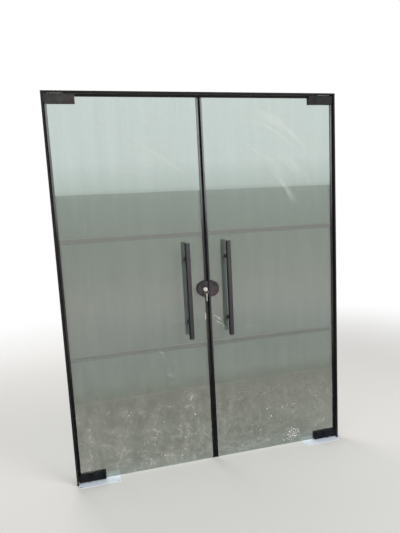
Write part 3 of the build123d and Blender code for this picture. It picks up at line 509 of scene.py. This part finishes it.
def makeGlass(name, values):
    # Toughened pane: tint with painted light that darkens towards the floor, polished edges are greener. Lamps pass
    # it
    finish, tree, shader, place = startFinish(name)
    # Painted light: the tint follows the height, with painted reflection at the top and painted shade low and on the
    # stripes
    tintAndPaintedLight = heightRamp(tree, axes(tree, place)["Z"], values["tintsAndPaintedLight"])
    streak = stretched(tree, place, values["streaks"])
    colour = tinted(tree, tintAndPaintedLight, about(tree, noise(tree, streak, 1.0, 4.0, 0.6), 1.0, values["toneSwing"]))
    edge = spread(tree, calc(tree, "ABSOLUTE", normalAxes(tree)["Y"]), 0.2, 0.6, 1.0, 0.0)
    tree.links.new(blendColour(tree, edge, colour, values["edge"]), shader.inputs["Base Color"])
    setPlain(shader, values, "roughness", "transmission", "index")
    setBump(tree, shader, noise(tree, streak, 1.0, 2.0), values)
    clear = addNode(tree, "ShaderNodeBsdfTransparent", {"Color": opaque(values["shade"])})
    path = tree.nodes.new("ShaderNodeLightPath").outputs
    mixSurface(tree, calc(tree, "MAXIMUM", path["Is Shadow Ray"], path["Is Diffuse Ray"]), shader, clear)
    return finish


filmFinish = {
    "colour": (0.76, 0.87, 0.92), "pale": (0.86, 0.93, 0.97), "alpha": 0.60, "alphaSwing": 0.08,
    "roughness": 0.7, "specular": 0.2, "clouds": (7.0, 1.0, 1.6),
}


def makeFilmFinish(name, values):
    finish, tree, shader, place = startFinish(name)
    cloud = spread(tree, noise(tree, stretched(tree, place, values["clouds"]), 1.0, 5.0, 0.6), 0.3, 0.7)
    tree.links.new(blendColour(tree, cloud, values["colour"], values["pale"]), shader.inputs["Base Color"])
    tree.links.new(about(tree, cloud, values["alpha"], values["alphaSwing"], True), shader.inputs["Alpha"])
    setPlain(shader, values, "roughness", "specular")
    return finish


grimeFinish = {
    "wiped": (0.90, 0.93, 0.89), "soil": (0.42, 0.41, 0.37), "roughness": 0.8, "specular": 0.2,
    # x, z, direction, half angle, inner and outer radius, scale, gap, strength
    "strokes": (
        (0.05, 1.47, 50, 26, 0.44, 1.02, 22, 0.42, 0.50), (0.02, 1.40, 42, 22, 0.54, 0.90, 34, 0.48, 0.60),
        (0.86, 2.62, -118, 22, 0.36, 0.80, 26, 0.50, 0.35), (0.30, 1.58, 66, 26, 0.22, 0.50, 30, 0.50, 0.4),
        (-0.60, 1.40, 62, 26, 0.36, 0.86, 20, 0.52, 0.5), (-0.30, 2.70, -104, 26, 0.40, 0.90, 20, 0.52, 0.4),
        (-0.004, 0.901, 47, 30, 0.076, 0.106, 130, 0.40, 1.0), (0.020, 0.845, 52, 34, 0.074, 0.108, 150, 0.44, 0.8),
        (-0.112, 0.980, 0, 20, 0.084, 0.096, 60, 0.10, 0.9), (0.268, 0.600, 90, 9, 0.278, 0.291, 60, 0.10, 0.4),
        (-0.220, 0.885, 90, 12, 0.084, 0.096, 60, 0.10, 0.5), (-0.310, 0.830, 90, 28, 0.070, 0.100, 60, 0.40, 0.4),
        (-0.38, 0.70, 36, 36, 0.05, 0.16, 60, 0.50, 0.6), (-0.35, 0.54, 32, 36, 0.05, 0.14, 60, 0.50, 0.5),
        (-0.22, 0.50, -44, 40, 0.05, 0.14, 60, 0.50, 0.5), (-0.786, 0.392, 0, 179, -0.03, 0.026, 30, -0.3, 0.22),
        (-0.800, 0.296, 0, 179, -0.03, 0.022, 30, -0.3, 0.22),
    ),
    "soilHeights": (0.05, 0.95), "soilScale": 9.0, "soilAcross": (-0.3, 0.4, 1.3, 0.6),
    "gravelHeights": (0.35, 0.60, 1.0, 0.0), "gravelScale": 38.0, "streaks": (70.0, 1.0, 1.4),
    "dropHeights": (0.40, 0.56, 1.0, 0.0), "dropScale": 84.0, "dropSizes": (0.0, 0.34),
    "alphas": {"strokes": 0.44, "soil": 0.30, "gravel": 0.14, "drops": 0.40, "streaks": 0.06},
    "paleLines": 0.4, "paleDrops": 0.6,
}


def strokeMask(tree, place, strokes):
    wiped = None
    for number, (x, z, toward, width, inner, outer, scale, gap, share) in enumerate(strokes):
        mask = useGroup(
            tree, "wipeArcs", Place=place, Centre=(x, 0.0, z), Toward=math.radians(toward),
            Width=math.radians(width), Inner=inner, Outer=outer, Scale=scale, Gap=gap, Seed=number * 3.7,
        )["Mask"]
        mask = times(tree, mask, share)
        wiped = mask if wiped is None else calc(tree, "MAXIMUM", wiped, mask)
    return wiped


def dropMask(tree, place, values):
    # Faint dried drops low on the glass
    parts = axes(tree, place)
    flat = addNode(tree, "ShaderNodeCombineXYZ", {"X": parts["X"], "Y": parts["Z"]}).outputs[0]
    inputs = {"Vector": flat, "Scale": values["dropScale"]}
    cells = addNode(tree, "ShaderNodeTexVoronoi", inputs, voronoi_dimensions="2D").outputs
    size = spread(tree, axes(tree, cells["Color"])["X"], 0.50, 1.0, *values["dropSizes"], False)
    drops = spread(tree, minus(tree, size, cells["Distance"]), 0.0, 0.12)
    patches = spread(tree, noise(tree, place, 6.0, 4.0), 0.50, 0.64)
    return times(tree, drops, times(tree, patches, spread(tree, parts["Z"], *values["dropHeights"])))


def makeGrime(name, values):
    # Dust on the outer face of the glass: wiped strokes, run-down streaks and soil near the floor
    finish, tree, shader, place = startFinish(name)
    parts = axes(tree, place)
    low, high = values["soilHeights"]
    cloud = {"Place": place, "Low": low, "High": high, "Scale": values["soilScale"], "Amount": 1.0}
    soil = useGroup(tree, "settledDust", **cloud)["Mask"]
    gravel = spread(tree, noise(tree, place, values["gravelScale"], 5.0, 0.7), 0.42, 0.70)
    streaks = noise(tree, stretched(tree, place, values["streaks"]), 1.0, 5.0, 0.65)
    masks = {
        "strokes": strokeMask(tree, place, values["strokes"]),
        "soil": times(tree, soil, spread(tree, parts["X"], *values["soilAcross"])),
        "gravel": times(tree, gravel, spread(tree, parts["Z"], *values["gravelHeights"])),
        "drops": dropMask(tree, place, values),
        "streaks": spread(tree, streaks, 0.52, 0.78),
    }
    alpha = None
    for kind, mask in masks.items():
        layer = times(tree, mask, values["alphas"][kind])
        alpha = layer if alpha is None else plus(tree, alpha, layer, kind == "streaks")
    tree.links.new(alpha, shader.inputs["Alpha"])
    lines = times(tree, plus(tree, masks["streaks"], masks["gravel"]), values["paleLines"])
    pale = plus(tree, masks["strokes"], lines)
    pale = plus(tree, pale, times(tree, masks["drops"], values["paleDrops"]), True)
    tree.links.new(blendColour(tree, pale, values["soil"], values["wiped"]), shader.inputs["Base Color"])
    setPlain(shader, values, "roughness", "specular")
    return finish


mortarFinish = {
    "colour": (0.90, 0.92, 0.92), "dark": (0.66, 0.66, 0.64), "roughness": 0.85, "grain": 700.0,
    "bump": 0.5, "bumpDepth": 0.0003,
}


def makeMortar(name, values):
    finish, tree, shader, place = startFinish(name)
    grain = noise(tree, place, values["grain"], 4.0, 0.7)
    colour = blendColour(tree, spread(tree, grain, 0.35, 0.7), values["colour"], values["dark"])
    tree.links.new(colour, shader.inputs["Base Color"])
    setPlain(shader, values, "roughness")
    setBump(tree, shader, grain, values)
    return finish


finishes = {name: makeCoated(name, values, coatedShared) for name, values in coatedFinishes.items()}
finishes.update({name: makeMetal(name, values, metalShared) for name, values in metalFinishes.items()})
finishes.update({
    "pullBronze": makePull("pullBronze", pullFinish), "sealRubber": makeRubber("sealRubber", rubberFinish),
    "clearGlass": makeGlass("clearGlass", glassFinish), "frostedFilm": makeFilmFinish("frostedFilm", filmFinish),
    "glassGrime": makeGrime("glassGrime", grimeFinish), "driedMortar": makeMortar("driedMortar", mortarFinish),
})
print("finishes built,", len(finishes))


# Finishes of the CAD nodes: the record's slot of each, and the finish of each slot
slotFinish = {
    "frame_black": "frameBlack", "clear_glass": "clearGlass", "frosted": "frostedFilm", "seal_rubber": "sealRubber",
    "patch_black": "patchBlack", "pull_bronze": "pullBronze", "lock_bronze": "lockBronze", "nickel": "nickelPlate",
    "bright_steel": "machinedSteel", "cover_steel": "coverSteel", "box_steel": "boxSteel",
    "closer_iron": "closerIron", "insert_alloy": "insertAlloy",
}
singleNodes = {
    "frame_black": ("head_rail",),
    "bright_steel": ("frame_screws", "floor_screws", "lock_screws", "strike_screws", "lock_bolt", "split_ring"),
    "insert_alloy": ("lock_case", "strike_case"),
    "lock_bronze": ("lock_outer_cover", "lock_inner_cover", "strike_outer_cover", "strike_inner_cover", "thumbturn"),
    "nickel": ("lock_cylinder", "key_plug", "key", "spare_key"),
}
pairedNodes = {
    "frame_black": ("jamb",), "box_steel": ("floor_box",), "closer_iron": ("closer",),
    "cover_steel": ("floor_cover",), "clear_glass": ("glass",), "frosted": ("frosted_film",),
    "bright_steel": ("top_pivot", "patch_screws", "spindle", "pull_fixings"),
    "seal_rubber": ("edge_seals", "glass_gaskets"), "insert_alloy": ("top_bush", "bottom_insert"),
    "patch_black": ("top_patch_outer", "top_patch_inner", "bottom_patch_outer", "bottom_patch_inner"),
    "pull_bronze": ("outer_pull", "inner_pull"),
}
nodeSlot = {name: slotName for slotName, names in singleNodes.items() for name in names}
for hand, side in sides:
    nodeSlot.update({hand + "_" + name: slotName for slotName, names in pairedNodes.items() for name in names})


def dressNodes():
    for name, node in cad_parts.items():
        finish = finishes[slotFinish[nodeSlot[name]]]
        if not node.material_slots:
            node.data.materials.append(finish)
        for slot in node.material_slots:
            slot.material = finish


dressNodes()
print("CAD nodes dressed")


# Helpers for the pieces' meshes
def addPiece(name, mesh, finish=None):
    piece = bpy.data.objects.new(name, mesh)
    bpy.context.scene.collection.objects.link(piece)
    if finish:
        mesh.materials.clear()
        mesh.materials.append(finishes[finish])
    return piece


def meshOf(shape, name):
    mesh = bpy.data.meshes.new(name)
    shape.to_mesh(mesh)
    shape.free()
    return mesh


def skinRings(shape, rings):
    # Faces from ring to ring and a cap at each end
    for first, second in zip(rings, rings[1:]):
        for k in range(len(first)):
            shape.faces.new((first[k - 1], first[k], second[k], second[k - 1]))
    shape.faces.new(rings[0])
    shape.faces.new(rings[-1])


def arcPoints(centreX, centreZ, radius, start, end, steps):
    angles = [math.radians(start + (end - start) * k / steps) for k in range(steps + 1)]
    return [(centreX + radius * math.cos(a), centreZ + radius * math.sin(a)) for a in angles]


# Flat sheets on the glass: grime outside, film inside
def sheetMesh(name, outlines, holes, side, y, outward):
    # Sheets at one depth, each an outline of (x, z), with round holes punched through
    shape = bmesh.new()
    for outline in outlines:
        edges = []
        low, high = min(z for x, z in outline), max(z for x, z in outline)
        rings = [outline] + [arcPoints(x, z, r, 0, 360, 28)[:-1] for x, z, r in holes if low < z < high]
        for ring in rings:
            corners = [shape.verts.new((side * x, y, z)) for x, z in ring]
            edges += [shape.edges.new((corners[k - 1], corners[k])) for k in range(len(corners))]
        bmesh.ops.triangle_fill(shape, edges=edges, use_beauty=True)
    for face in shape.faces:
        face.normal_update()
        if face.normal.y * outward < 0:
            face.normal_flip()
    return meshOf(shape, name)


sheetValues = {
    "grimeDepth": -0.00615, "filmDepth": 0.00625, "innerEdge": 0.0180, "outerEdge": 0.8710,
    "low": 0.0108, "high": 2.3230, "patchEnd": 0.7180, "patchLow": 0.0615, "patchHigh": 2.2840,
    "lockX": 0.020, "lockZ": 1.158, "lockRadius": 0.0510,
    "bands": ((0.515, 0.787), (0.815, 1.497), (1.525, 1.775)),
    "posts": ((0.130, 0.958, 0.013), (0.130, 1.358, 0.013)),
}


def lockEdge(values):
    # Points round the lock, from above it to below it, ending at the pane's inner edge
    lean = math.degrees(math.asin((values["lockX"] - values["innerEdge"]) / values["lockRadius"]))
    return arcPoints(values["lockX"], values["lockZ"], values["lockRadius"], 90 + lean, -90 - lean, 30)


def makeSheets(hand, side, values):
    body = hand + "_leaf"
    inner, outer, patchEnd = values["innerEdge"], values["outerEdge"], values["patchEnd"]
    grimeLine = [
        (inner, values["low"]), (patchEnd, values["low"]), (patchEnd, values["patchLow"]),
        (outer, values["patchLow"]), (outer, values["patchHigh"]), (patchEnd, values["patchHigh"]),
        (patchEnd, values["high"]), (inner, values["high"]), *lockEdge(values),
    ]
    mesh = sheetMesh(hand + "Grime", [grimeLine], values["posts"], side, values["grimeDepth"], -1)
    grime = addPiece(hand + "Grime", mesh, "glassGrime")
    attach(grime, body)
    bands = [[(inner, low), (outer, low), (outer, high), (inner, high)] for low, high in values["bands"]]
    bands[1] += lockEdge(values)
    mesh = sheetMesh(hand + "Film", bands, values["posts"], side, values["filmDepth"], 1)
    film = addPiece(hand + "Film", mesh, "frostedFilm")
    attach(film, body)
    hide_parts(hand + "_frosted_film")


for hand, side in sides:
    makeSheets(hand, side, sheetValues)
print("film and grime laid on the glass")


# Soft lips close the gaps between the seals and between the lock covers, ribbed stops end the patches; their black
# stands in for the shade inside these gaps
lipValues = {
    "section": 0.018, "rib": 0.0000625,
    # Each strip: its middle y, half its outline as (x, half width), and the heights that it runs between
    "strips": (
        (0.0, ((0.00100, 0.0004), (0.00040, 0.0003), (0.00006, 0.0002)), ((0.0105, 1.1065), (1.2095, 2.3365))),
        (-0.019, ((0.0032, 0.0006), (0.0010, 0.0004), (0.00005, 0.0002)), ((1.1112, 1.2048),)),
        (0.019, ((0.0032, 0.0006), (0.0010, 0.0004), (0.00005, 0.0002)), ((1.1112, 1.2048),)),
        (0.0, ((0.88370, 0.0050), (0.88600, 0.0050), (0.88680, 0.0042)), ((0.0125, 0.0605), (2.2850, 2.3330))),
    ),
}


def extrudeRibbed(shape, outline, side, low, high, values):
    steps = max(2, round((high - low) / values["section"]))
    rings = []
    for k in range(steps + 1):
        inset = values["rib"] if k % 2 else 0.0
        z = low + (high - low) * k / steps
        rings.append([shape.verts.new((side * x, y - math.copysign(inset, y), z)) for x, y in outline])
    skinRings(shape, rings)


def makeLips(hand, side, values):
    shape = bmesh.new()
    for middle, half, runs in values["strips"]:
        outline = [(x, middle - width) for x, width in half] + [(x, middle + width) for x, width in half[::-1]]
        for low, high in runs:
            extrudeRibbed(shape, outline, side, low, high, values)
    bmesh.ops.recalc_face_normals(shape, faces=shape.faces)
    lips = addPiece(hand + "Lips", meshOf(shape, hand + "Lips"), "sealRubber")
    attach(lips, hand + "_leaf")


for hand, side in sides:
    makeLips(hand, side, lipValues)
print("lips and stops made")


# Geometry Nodes: helpers
def startTree(name, **inputs):
    tree = bpy.data.node_groups.new(name, "GeometryNodeTree")
    tree.interface.new_socket("Geometry", in_out="INPUT", socket_type="NodeSocketGeometry")
    tree.interface.new_socket("Geometry", in_out="OUTPUT", socket_type="NodeSocketGeometry")
    for label, kind in inputs.items():
        tree.interface.new_socket(label, in_out="INPUT", socket_type="NodeSocket" + kind)
    return tree, tree.nodes.new("NodeGroupInput").outputs, tree.nodes.new("NodeGroupOutput").inputs


def randomNumber(tree, seed, highest):
    inputs = {2: 0.0, 3: highest, "Seed": seed}
    return addNode(tree, "FunctionNodeRandomValue", inputs, data_type="FLOAT").outputs[1]


def attribute(tree, name, kind):
    return addNode(tree, "GeometryNodeInputNamedAttribute", {"Name": name}, data_type=kind).outputs["Attribute"]


def setOnPoints(tree, points, instance, rotation, scale, seed):
    # One copy on each point, turned by a random angle about its own Z
    inputs = {"Points": points, "Instance": instance, "Rotation": rotation, "Scale": scale}
    placed = addNode(tree, "GeometryNodeInstanceOnPoints", inputs).outputs["Instances"]
    spin = addNode(tree, "ShaderNodeCombineXYZ", {"Z": randomNumber(tree, seed, math.tau)}).outputs[0]
    turned = addNode(tree, "GeometryNodeRotateInstances", {"Instances": placed, "Rotation": spin})
    return addNode(tree, "GeometryNodeRealizeInstances", {"Geometry": turned.outputs[0]}).outputs["Geometry"]


def endTree(tree, geometry, given, out):
    dressed = addNode(tree, "GeometryNodeSetMaterial", {"Geometry": geometry, "Material": given["Finish"]})
    tree.links.new(dressed.outputs["Geometry"], out["Geometry"])
    return tree


def runTree(piece, tree, values):
    # Evaluates the tree on the piece and leaves a plain mesh
    modifier = piece.modifiers.new(tree.name, "NODES")
    modifier.node_group = tree
    for item in tree.interface.items_tree:
        if item.item_type == "SOCKET" and item.in_out == "INPUT" and item.name in values:
            modifier[item.identifier] = values[item.name]
    bpy.context.view_layer.update()
    graph = bpy.context.evaluated_depsgraph_get()
    made = bpy.data.meshes.new_from_object(piece.evaluated_get(graph))
    piece.modifiers.remove(modifier)
    old = piece.data
    piece.data = made
    made.name = piece.name
    bpy.data.meshes.remove(old)
    return piece


# Screws: one turned template for each kind, set on points that know which way the head faces
screwKinds = {
    "patch": {"shank": 0.0030, "head": 0.0056, "rise": 0.0, "length": 0.0300, "socket": 0.0021, "deep": 0.0020},
    "lock": {"shank": 0.0024, "head": 0.0044, "rise": 0.0, "length": 0.0420, "socket": 0.0016, "deep": 0.0016},
    "cover": {"shank": 0.0025, "head": 0.0044, "rise": 0.0, "length": 0.0140, "socket": 0.0016, "deep": 0.0014},
    "foot": {"shank": 0.0025, "head": 0.0043, "rise": 0.0025, "length": 0.0105, "socket": 0.0019, "deep": 0.0015},
}
screwShared = {"steps": 24, "lip": 0.00015, "bevel": 0.0002, "rim": 0.0003, "tip": 0.0006}


def hexReach(angle, radius):
    # Distance to the side of a hexagon whose corners are at radius
    turned = (angle % (math.pi / 3)) - math.pi / 6
    return radius * math.cos(math.pi / 6) / math.cos(turned)


def screwTemplate(name, values, shared):
    # Head's top at the origin, facing +Z, hexagon socket sunk in it
    steps, bevel, tip = shared["steps"], shared["bevel"], shared["tip"]
    head, shank, rise = values["head"], values["shank"], values["rise"]
    neck = 0.0 if rise else shank - head
    profile = [
        (values["socket"], rise - values["deep"], True), (values["socket"], rise - shared["lip"], True),
        (values["socket"] + bevel, rise, True), (head - shared["rim"], rise, False), (head, rise - bevel, False),
    ]
    profile += [(head, neck, False)] if rise else []
    profile += [(shank, neck, False), (shank, tip - values["length"], False), (shank - tip, -values["length"], False)]
    shape = bmesh.new()
    rings = []
    for radius, z, isHex in profile:
        ring = []
        for k in range(steps):
            angle = math.tau * k / steps
            reach = hexReach(angle, radius) if isHex else radius
            ring.append(shape.verts.new((reach * math.cos(angle), reach * math.sin(angle), z)))
        rings.append(ring)
    skinRings(shape, rings)
    bmesh.ops.recalc_face_normals(shape, faces=shape.faces)
    return addPiece(name, meshOf(shape, name))


def makeScrewTree():
    tree, given, out = startTree("screwSet", Screw="Object", Size="Float", Seed="Int", Finish="Material")
    inputs = {"Object": given["Screw"], "As Instance": True}
    screw = addNode(tree, "GeometryNodeObjectInfo", inputs).outputs["Geometry"]
    inputs = {"Vector": attribute(tree, "facing", "FLOAT_VECTOR")}
    lined = addNode(tree, "FunctionNodeAlignRotationToVector", inputs, axis="Z").outputs["Rotation"]
    points = addNode(tree, "GeometryNodeMeshToPoints", {"Mesh": given["Geometry"]}).outputs["Points"]
    real = setOnPoints(tree, points, screw, lined, given["Size"], given["Seed"])
    return endTree(tree, real, given, out)


screwTree = makeScrewTree()
screwTemplates = {kind: screwTemplate(kind + "Screw", values, screwShared) for kind, values in screwKinds.items()}


def makeScrews(name, body, slotName, nodes, sets):
    # sets: (kind, facing, points). One mesh for the body
    parts = []
    for number, (kind, facing, points) in enumerate(sets):
        mesh = bpy.data.meshes.new(name)
        mesh.from_pydata(points, [], [])
        holder = mesh.attributes.new("facing", "FLOAT_VECTOR", "POINT")
        holder.data.foreach_set("vector", [c for point in points for c in facing])
        finish = finishes[slotFinish[slotName]]
        values = {"Screw": screwTemplates[kind], "Size": 1.0, "Seed": 7 + number, "Finish": finish}
        parts.append(runTree(addPiece(name + str(number), mesh), screwTree, values))
    joined = bmesh.new()
    for part in parts:
        joined.from_mesh(part.data)
    mesh = meshOf(joined, name)
    for part in parts:
        bpy.data.objects.remove(part)
    piece = addPiece(name, mesh, slotFinish[slotName])
    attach(piece, body)
    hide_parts(*nodes)


screwPlaces = {
    "patchX": (0.866, 0.780), "patchZ": (0.027, 2.3185), "patchFace": 0.017,
    "lockX": 0.020, "lockZ": 1.158, "lockFace": 0.025,
    "lockSpots": ((0.032, 0.004), (-0.010, 0.033), (-0.010, -0.033)),
    # Middle x, half spans and height of the heads
    "covers": (0.7595, (0.115, 0.047), 0.002), "feet": (0.7625, (0.101, 0.028), -0.038),
}


def cornerSpots(middle, halfSpans, top):
    corners = [(a, b) for a in (-1, 1) for b in (-1, 1)]
    return [(side * middle + a * halfSpans[0], b * halfSpans[1], top) for hand, side in sides for a, b in corners]


def makeAllScrews(values):
    lockX, lockZ = values["lockX"], values["lockZ"]
    for hand, side in sides:
        body = hand + "_leaf"
        spots = [(side * x, values["patchFace"], z) for x in values["patchX"] for z in values["patchZ"]]
        patchSet = ("patch", (0, 1, 0), spots)
        makeScrews(hand + "PatchScrews", body, "bright_steel", [hand + "_patch_screws"], [patchSet])
        spots = [(side * (lockX + x), values["lockFace"], lockZ + z) for x, z in values["lockSpots"]]
        node = "lock_screws" if hand == "left" else "strike_screws"
        makeScrews(hand + "LockScrews", body, "bright_steel", [node], [("lock", (0, 1, 0), spots)])
    up = (0, 0, 1)
    floorSets = [("cover", up, cornerSpots(*values["covers"])), ("foot", up, cornerSpots(*values["feet"]))]
    makeScrews("floorScrews", "frame", "bright_steel", ["floor_screws"], floorSets)


makeAllScrews(screwPlaces)
for template in screwTemplates.values():
    bpy.data.objects.remove(template)
print("screws set")


# Dried splashes of mortar on the outer face, scattered by a density that is kept in the mesh
splashValues = {
    "depth": -0.0062, "x": (0.03, 0.86), "z": (0.02, 0.56), "cell": 0.01, "patch": (0.708, 0.072),
    "density": 22000.0, "small": 0.0010, "large": 0.0050, "thick": 0.00035, "everywhere": 0.0003, "most": 2.0,
    "fewLarge": 3.0, "ragged": (0.003, 0.0, 0.003), "raggedScale": 420.0,
    "seeds": {"left": 4, "right": 14},
    # x, z, reach, weight
    "clusters": {
        "left": ((0.30, 0.16, 0.10, 0.008),),
        "right": (
            (0.568, 0.078, 0.026, 0.55), (0.540, 0.060, 0.016, 0.45), (0.595, 0.088, 0.014, 0.45),
            (0.530, 0.098, 0.012, 0.40), (0.500, 0.060, 0.016, 0.12), (0.628, 0.062, 0.014, 0.15),
            (0.55, 0.28, 0.12, 0.006),
        ),
    },
}


def makeSplashTree(values):
    tree, given, out = startTree(
        "splashes", Density="Float", Small="Float", Large="Float", Thick="Float", Seed="Int", Finish="Material",
    )
    density = times(tree, attribute(tree, "splash", "FLOAT"), given["Density"])
    inputs = {"Mesh": given["Geometry"], "Density": density, "Seed": given["Seed"]}
    scattered = addNode(tree, "GeometryNodeDistributePointsOnFaces", inputs, distribute_method="RANDOM").outputs
    blob = addNode(tree, "GeometryNodeMeshIcoSphere", {"Radius": 1.0, "Subdivisions": 2}).outputs["Mesh"]
    sizes = []
    for offset in (1, 2):
        pick = randomNumber(tree, plus(tree, given["Seed"], offset), 1.0)
        share = calc(tree, "POWER", pick, values["fewLarge"])
        reach = times(tree, share, minus(tree, given["Large"], given["Small"]))
        sizes.append(plus(tree, reach, given["Small"]))
    across = times(tree, plus(tree, *sizes), 0.5)
    size = addNode(tree, "ShaderNodeCombineXYZ", {"X": sizes[0], "Y": across, "Z": given["Thick"]}).outputs[0]
    turnSeed = plus(tree, given["Seed"], 3)
    real = setOnPoints(tree, scattered["Points"], blob, scattered["Rotation"], size, turnSeed)
    here = addNode(tree, "GeometryNodeInputPosition").outputs[0]
    inputs = {"Vector": here, "Scale": values["raggedScale"], "Detail": 2.0}
    shift = addNode(tree, "ShaderNodeTexNoise", inputs).outputs["Color"]
    shift = vectorCalc(tree, "MULTIPLY", vectorCalc(tree, "SUBTRACT", shift, (0.5, 0.5, 0.5)), values["ragged"])
    moved = addNode(tree, "GeometryNodeSetPosition", {"Geometry": real, "Offset": shift}).outputs["Geometry"]
    smooth = addNode(tree, "GeometryNodeSetShadeSmooth", {"Geometry": moved}).outputs["Geometry"]
    return endTree(tree, smooth, given, out)


splashTree = makeSplashTree(splashValues)


def splashShare(x, z, clusters, values):
    # Share of the full density at a point, none where a patch covers the glass
    if x > values["patch"][0] and z < values["patch"][1]:
        return 0.0
    total = values["everywhere"]
    for middleX, middleZ, reach, weight in clusters:
        total += weight * math.exp(-((x - middleX) ** 2 + (z - middleZ) ** 2) / (2 * reach ** 2))
    return min(values["most"], total)


def makeSplashes(hand, side, values):
    (xLow, xHigh), (zLow, zHigh), cell = values["x"], values["z"], values["cell"]
    across, up = round((xHigh - xLow) / cell), round((zHigh - zLow) / cell)
    points = [
        (side * (xLow + (xHigh - xLow) * i / across), values["depth"], zLow + (zHigh - zLow) * j / up)
        for j in range(up + 1) for i in range(across + 1)
    ]
    faces = []
    for j in range(up):
        for i in range(across):
            a = j * (across + 1) + i
            corners = (a, a + 1, a + across + 2, a + across + 1)
            faces.append(corners if side > 0 else corners[::-1])
    mesh = bpy.data.meshes.new(hand + "Splashes")
    mesh.from_pydata(points, [], faces)
    splash = mesh.attributes.new("splash", "FLOAT", "POINT")
    splash.data.foreach_set("value", [splashShare(abs(x), z, values["clusters"][hand], values) for x, y, z in points])
    piece = addPiece(hand + "Splashes", mesh)
    inputs = {label: values[label.lower()] for label in ("Density", "Small", "Large", "Thick")}
    runTree(piece, splashTree, {**inputs, "Seed": values["seeds"][hand], "Finish": finishes["driedMortar"]})
    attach(piece, hand + "_leaf")
    print(piece.name, len(piece.data.polygons), "faces")


for hand, side in sides:
    makeSplashes(hand, side, splashValues)
print("splashes scattered")


# Stage: pale floor that fades to the white background, and soft light
stageValues = {
    "floorRadius": 14.0, "floorSides": 96, "floorDepth": -0.0004, "floor": (0.66, 0.65, 0.63),
    "roughness": 0.9, "specular": 0.2, "fadeFrom": 2.2, "fadeTo": 5.0, "white": 1.0, "soft": 0.60,
    # name, place, size, power
    "lamps": (
        ("keyLamp", (3.0, -3.6, 3.9), 2.6, 165.0), ("fillLamp", (-3.2, -3.4, 2.6), 2.4, 45.0),
        ("backLamp", (-1.4, 3.9, 3.4), 2.6, 110.0),
    ),
    "aim": (0.0, 0.0, 1.15),
}


def seenDirectly(tree):
    path = tree.nodes.new("ShaderNodeLightPath").outputs
    seen = calc(tree, "MAXIMUM", path["Is Camera Ray"], path["Is Glossy Ray"])
    return calc(tree, "MAXIMUM", seen, path["Is Transmission Ray"])


def makeStage(values):
    mesh = bpy.data.meshes.new("floor")
    rim = arcPoints(0.0, 0.0, values["floorRadius"], 0, 360, values["floorSides"])[:-1]
    mesh.from_pydata([(x, y, values["floorDepth"]) for x, y in rim], [], [tuple(range(len(rim)))])
    floor = addPiece("floor", mesh)
    finish, tree, shader, place = startFinish("paleFloor")
    setPlain(shader, values, "roughness", "specular")
    shader.inputs["Base Color"].default_value = opaque(values["floor"])
    white = addNode(tree, "ShaderNodeEmission", {"Color": (1, 1, 1, 1), "Strength": values["white"]})
    fade = spread(tree, vectorCalc(tree, "LENGTH", place), values["fadeFrom"], values["fadeTo"])
    mixSurface(tree, times(tree, fade, seenDirectly(tree)), shader, white)
    mesh.materials.append(finish)

    world = bpy.data.worlds.new("studio")
    world.use_nodes = True
    tree = world.node_tree
    strength = spread(tree, seenDirectly(tree), 0.0, 1.0, values["soft"], values["white"], False)
    ground = tree.nodes["Background"]
    ground.inputs["Color"].default_value = (1, 1, 1, 1)
    tree.links.new(strength, ground.inputs["Strength"])
    bpy.context.scene.world = world

    for name, place, size, power in values["lamps"]:
        data = bpy.data.lights.new(name, "AREA")
        data.size, data.energy = size, power
        lamp = bpy.data.objects.new(name, data)
        bpy.context.scene.collection.objects.link(lamp)
        lamp.location = place
        lamp.rotation_euler = (Vector(values["aim"]) - Vector(place)).to_track_quat("-Z", "Y").to_euler()
        lamp.visible_camera = lamp.visible_glossy = lamp.visible_transmission = False


makeStage(stageValues)
bpy.context.scene.view_settings.view_transform = "Standard"
print("stage and light ready")
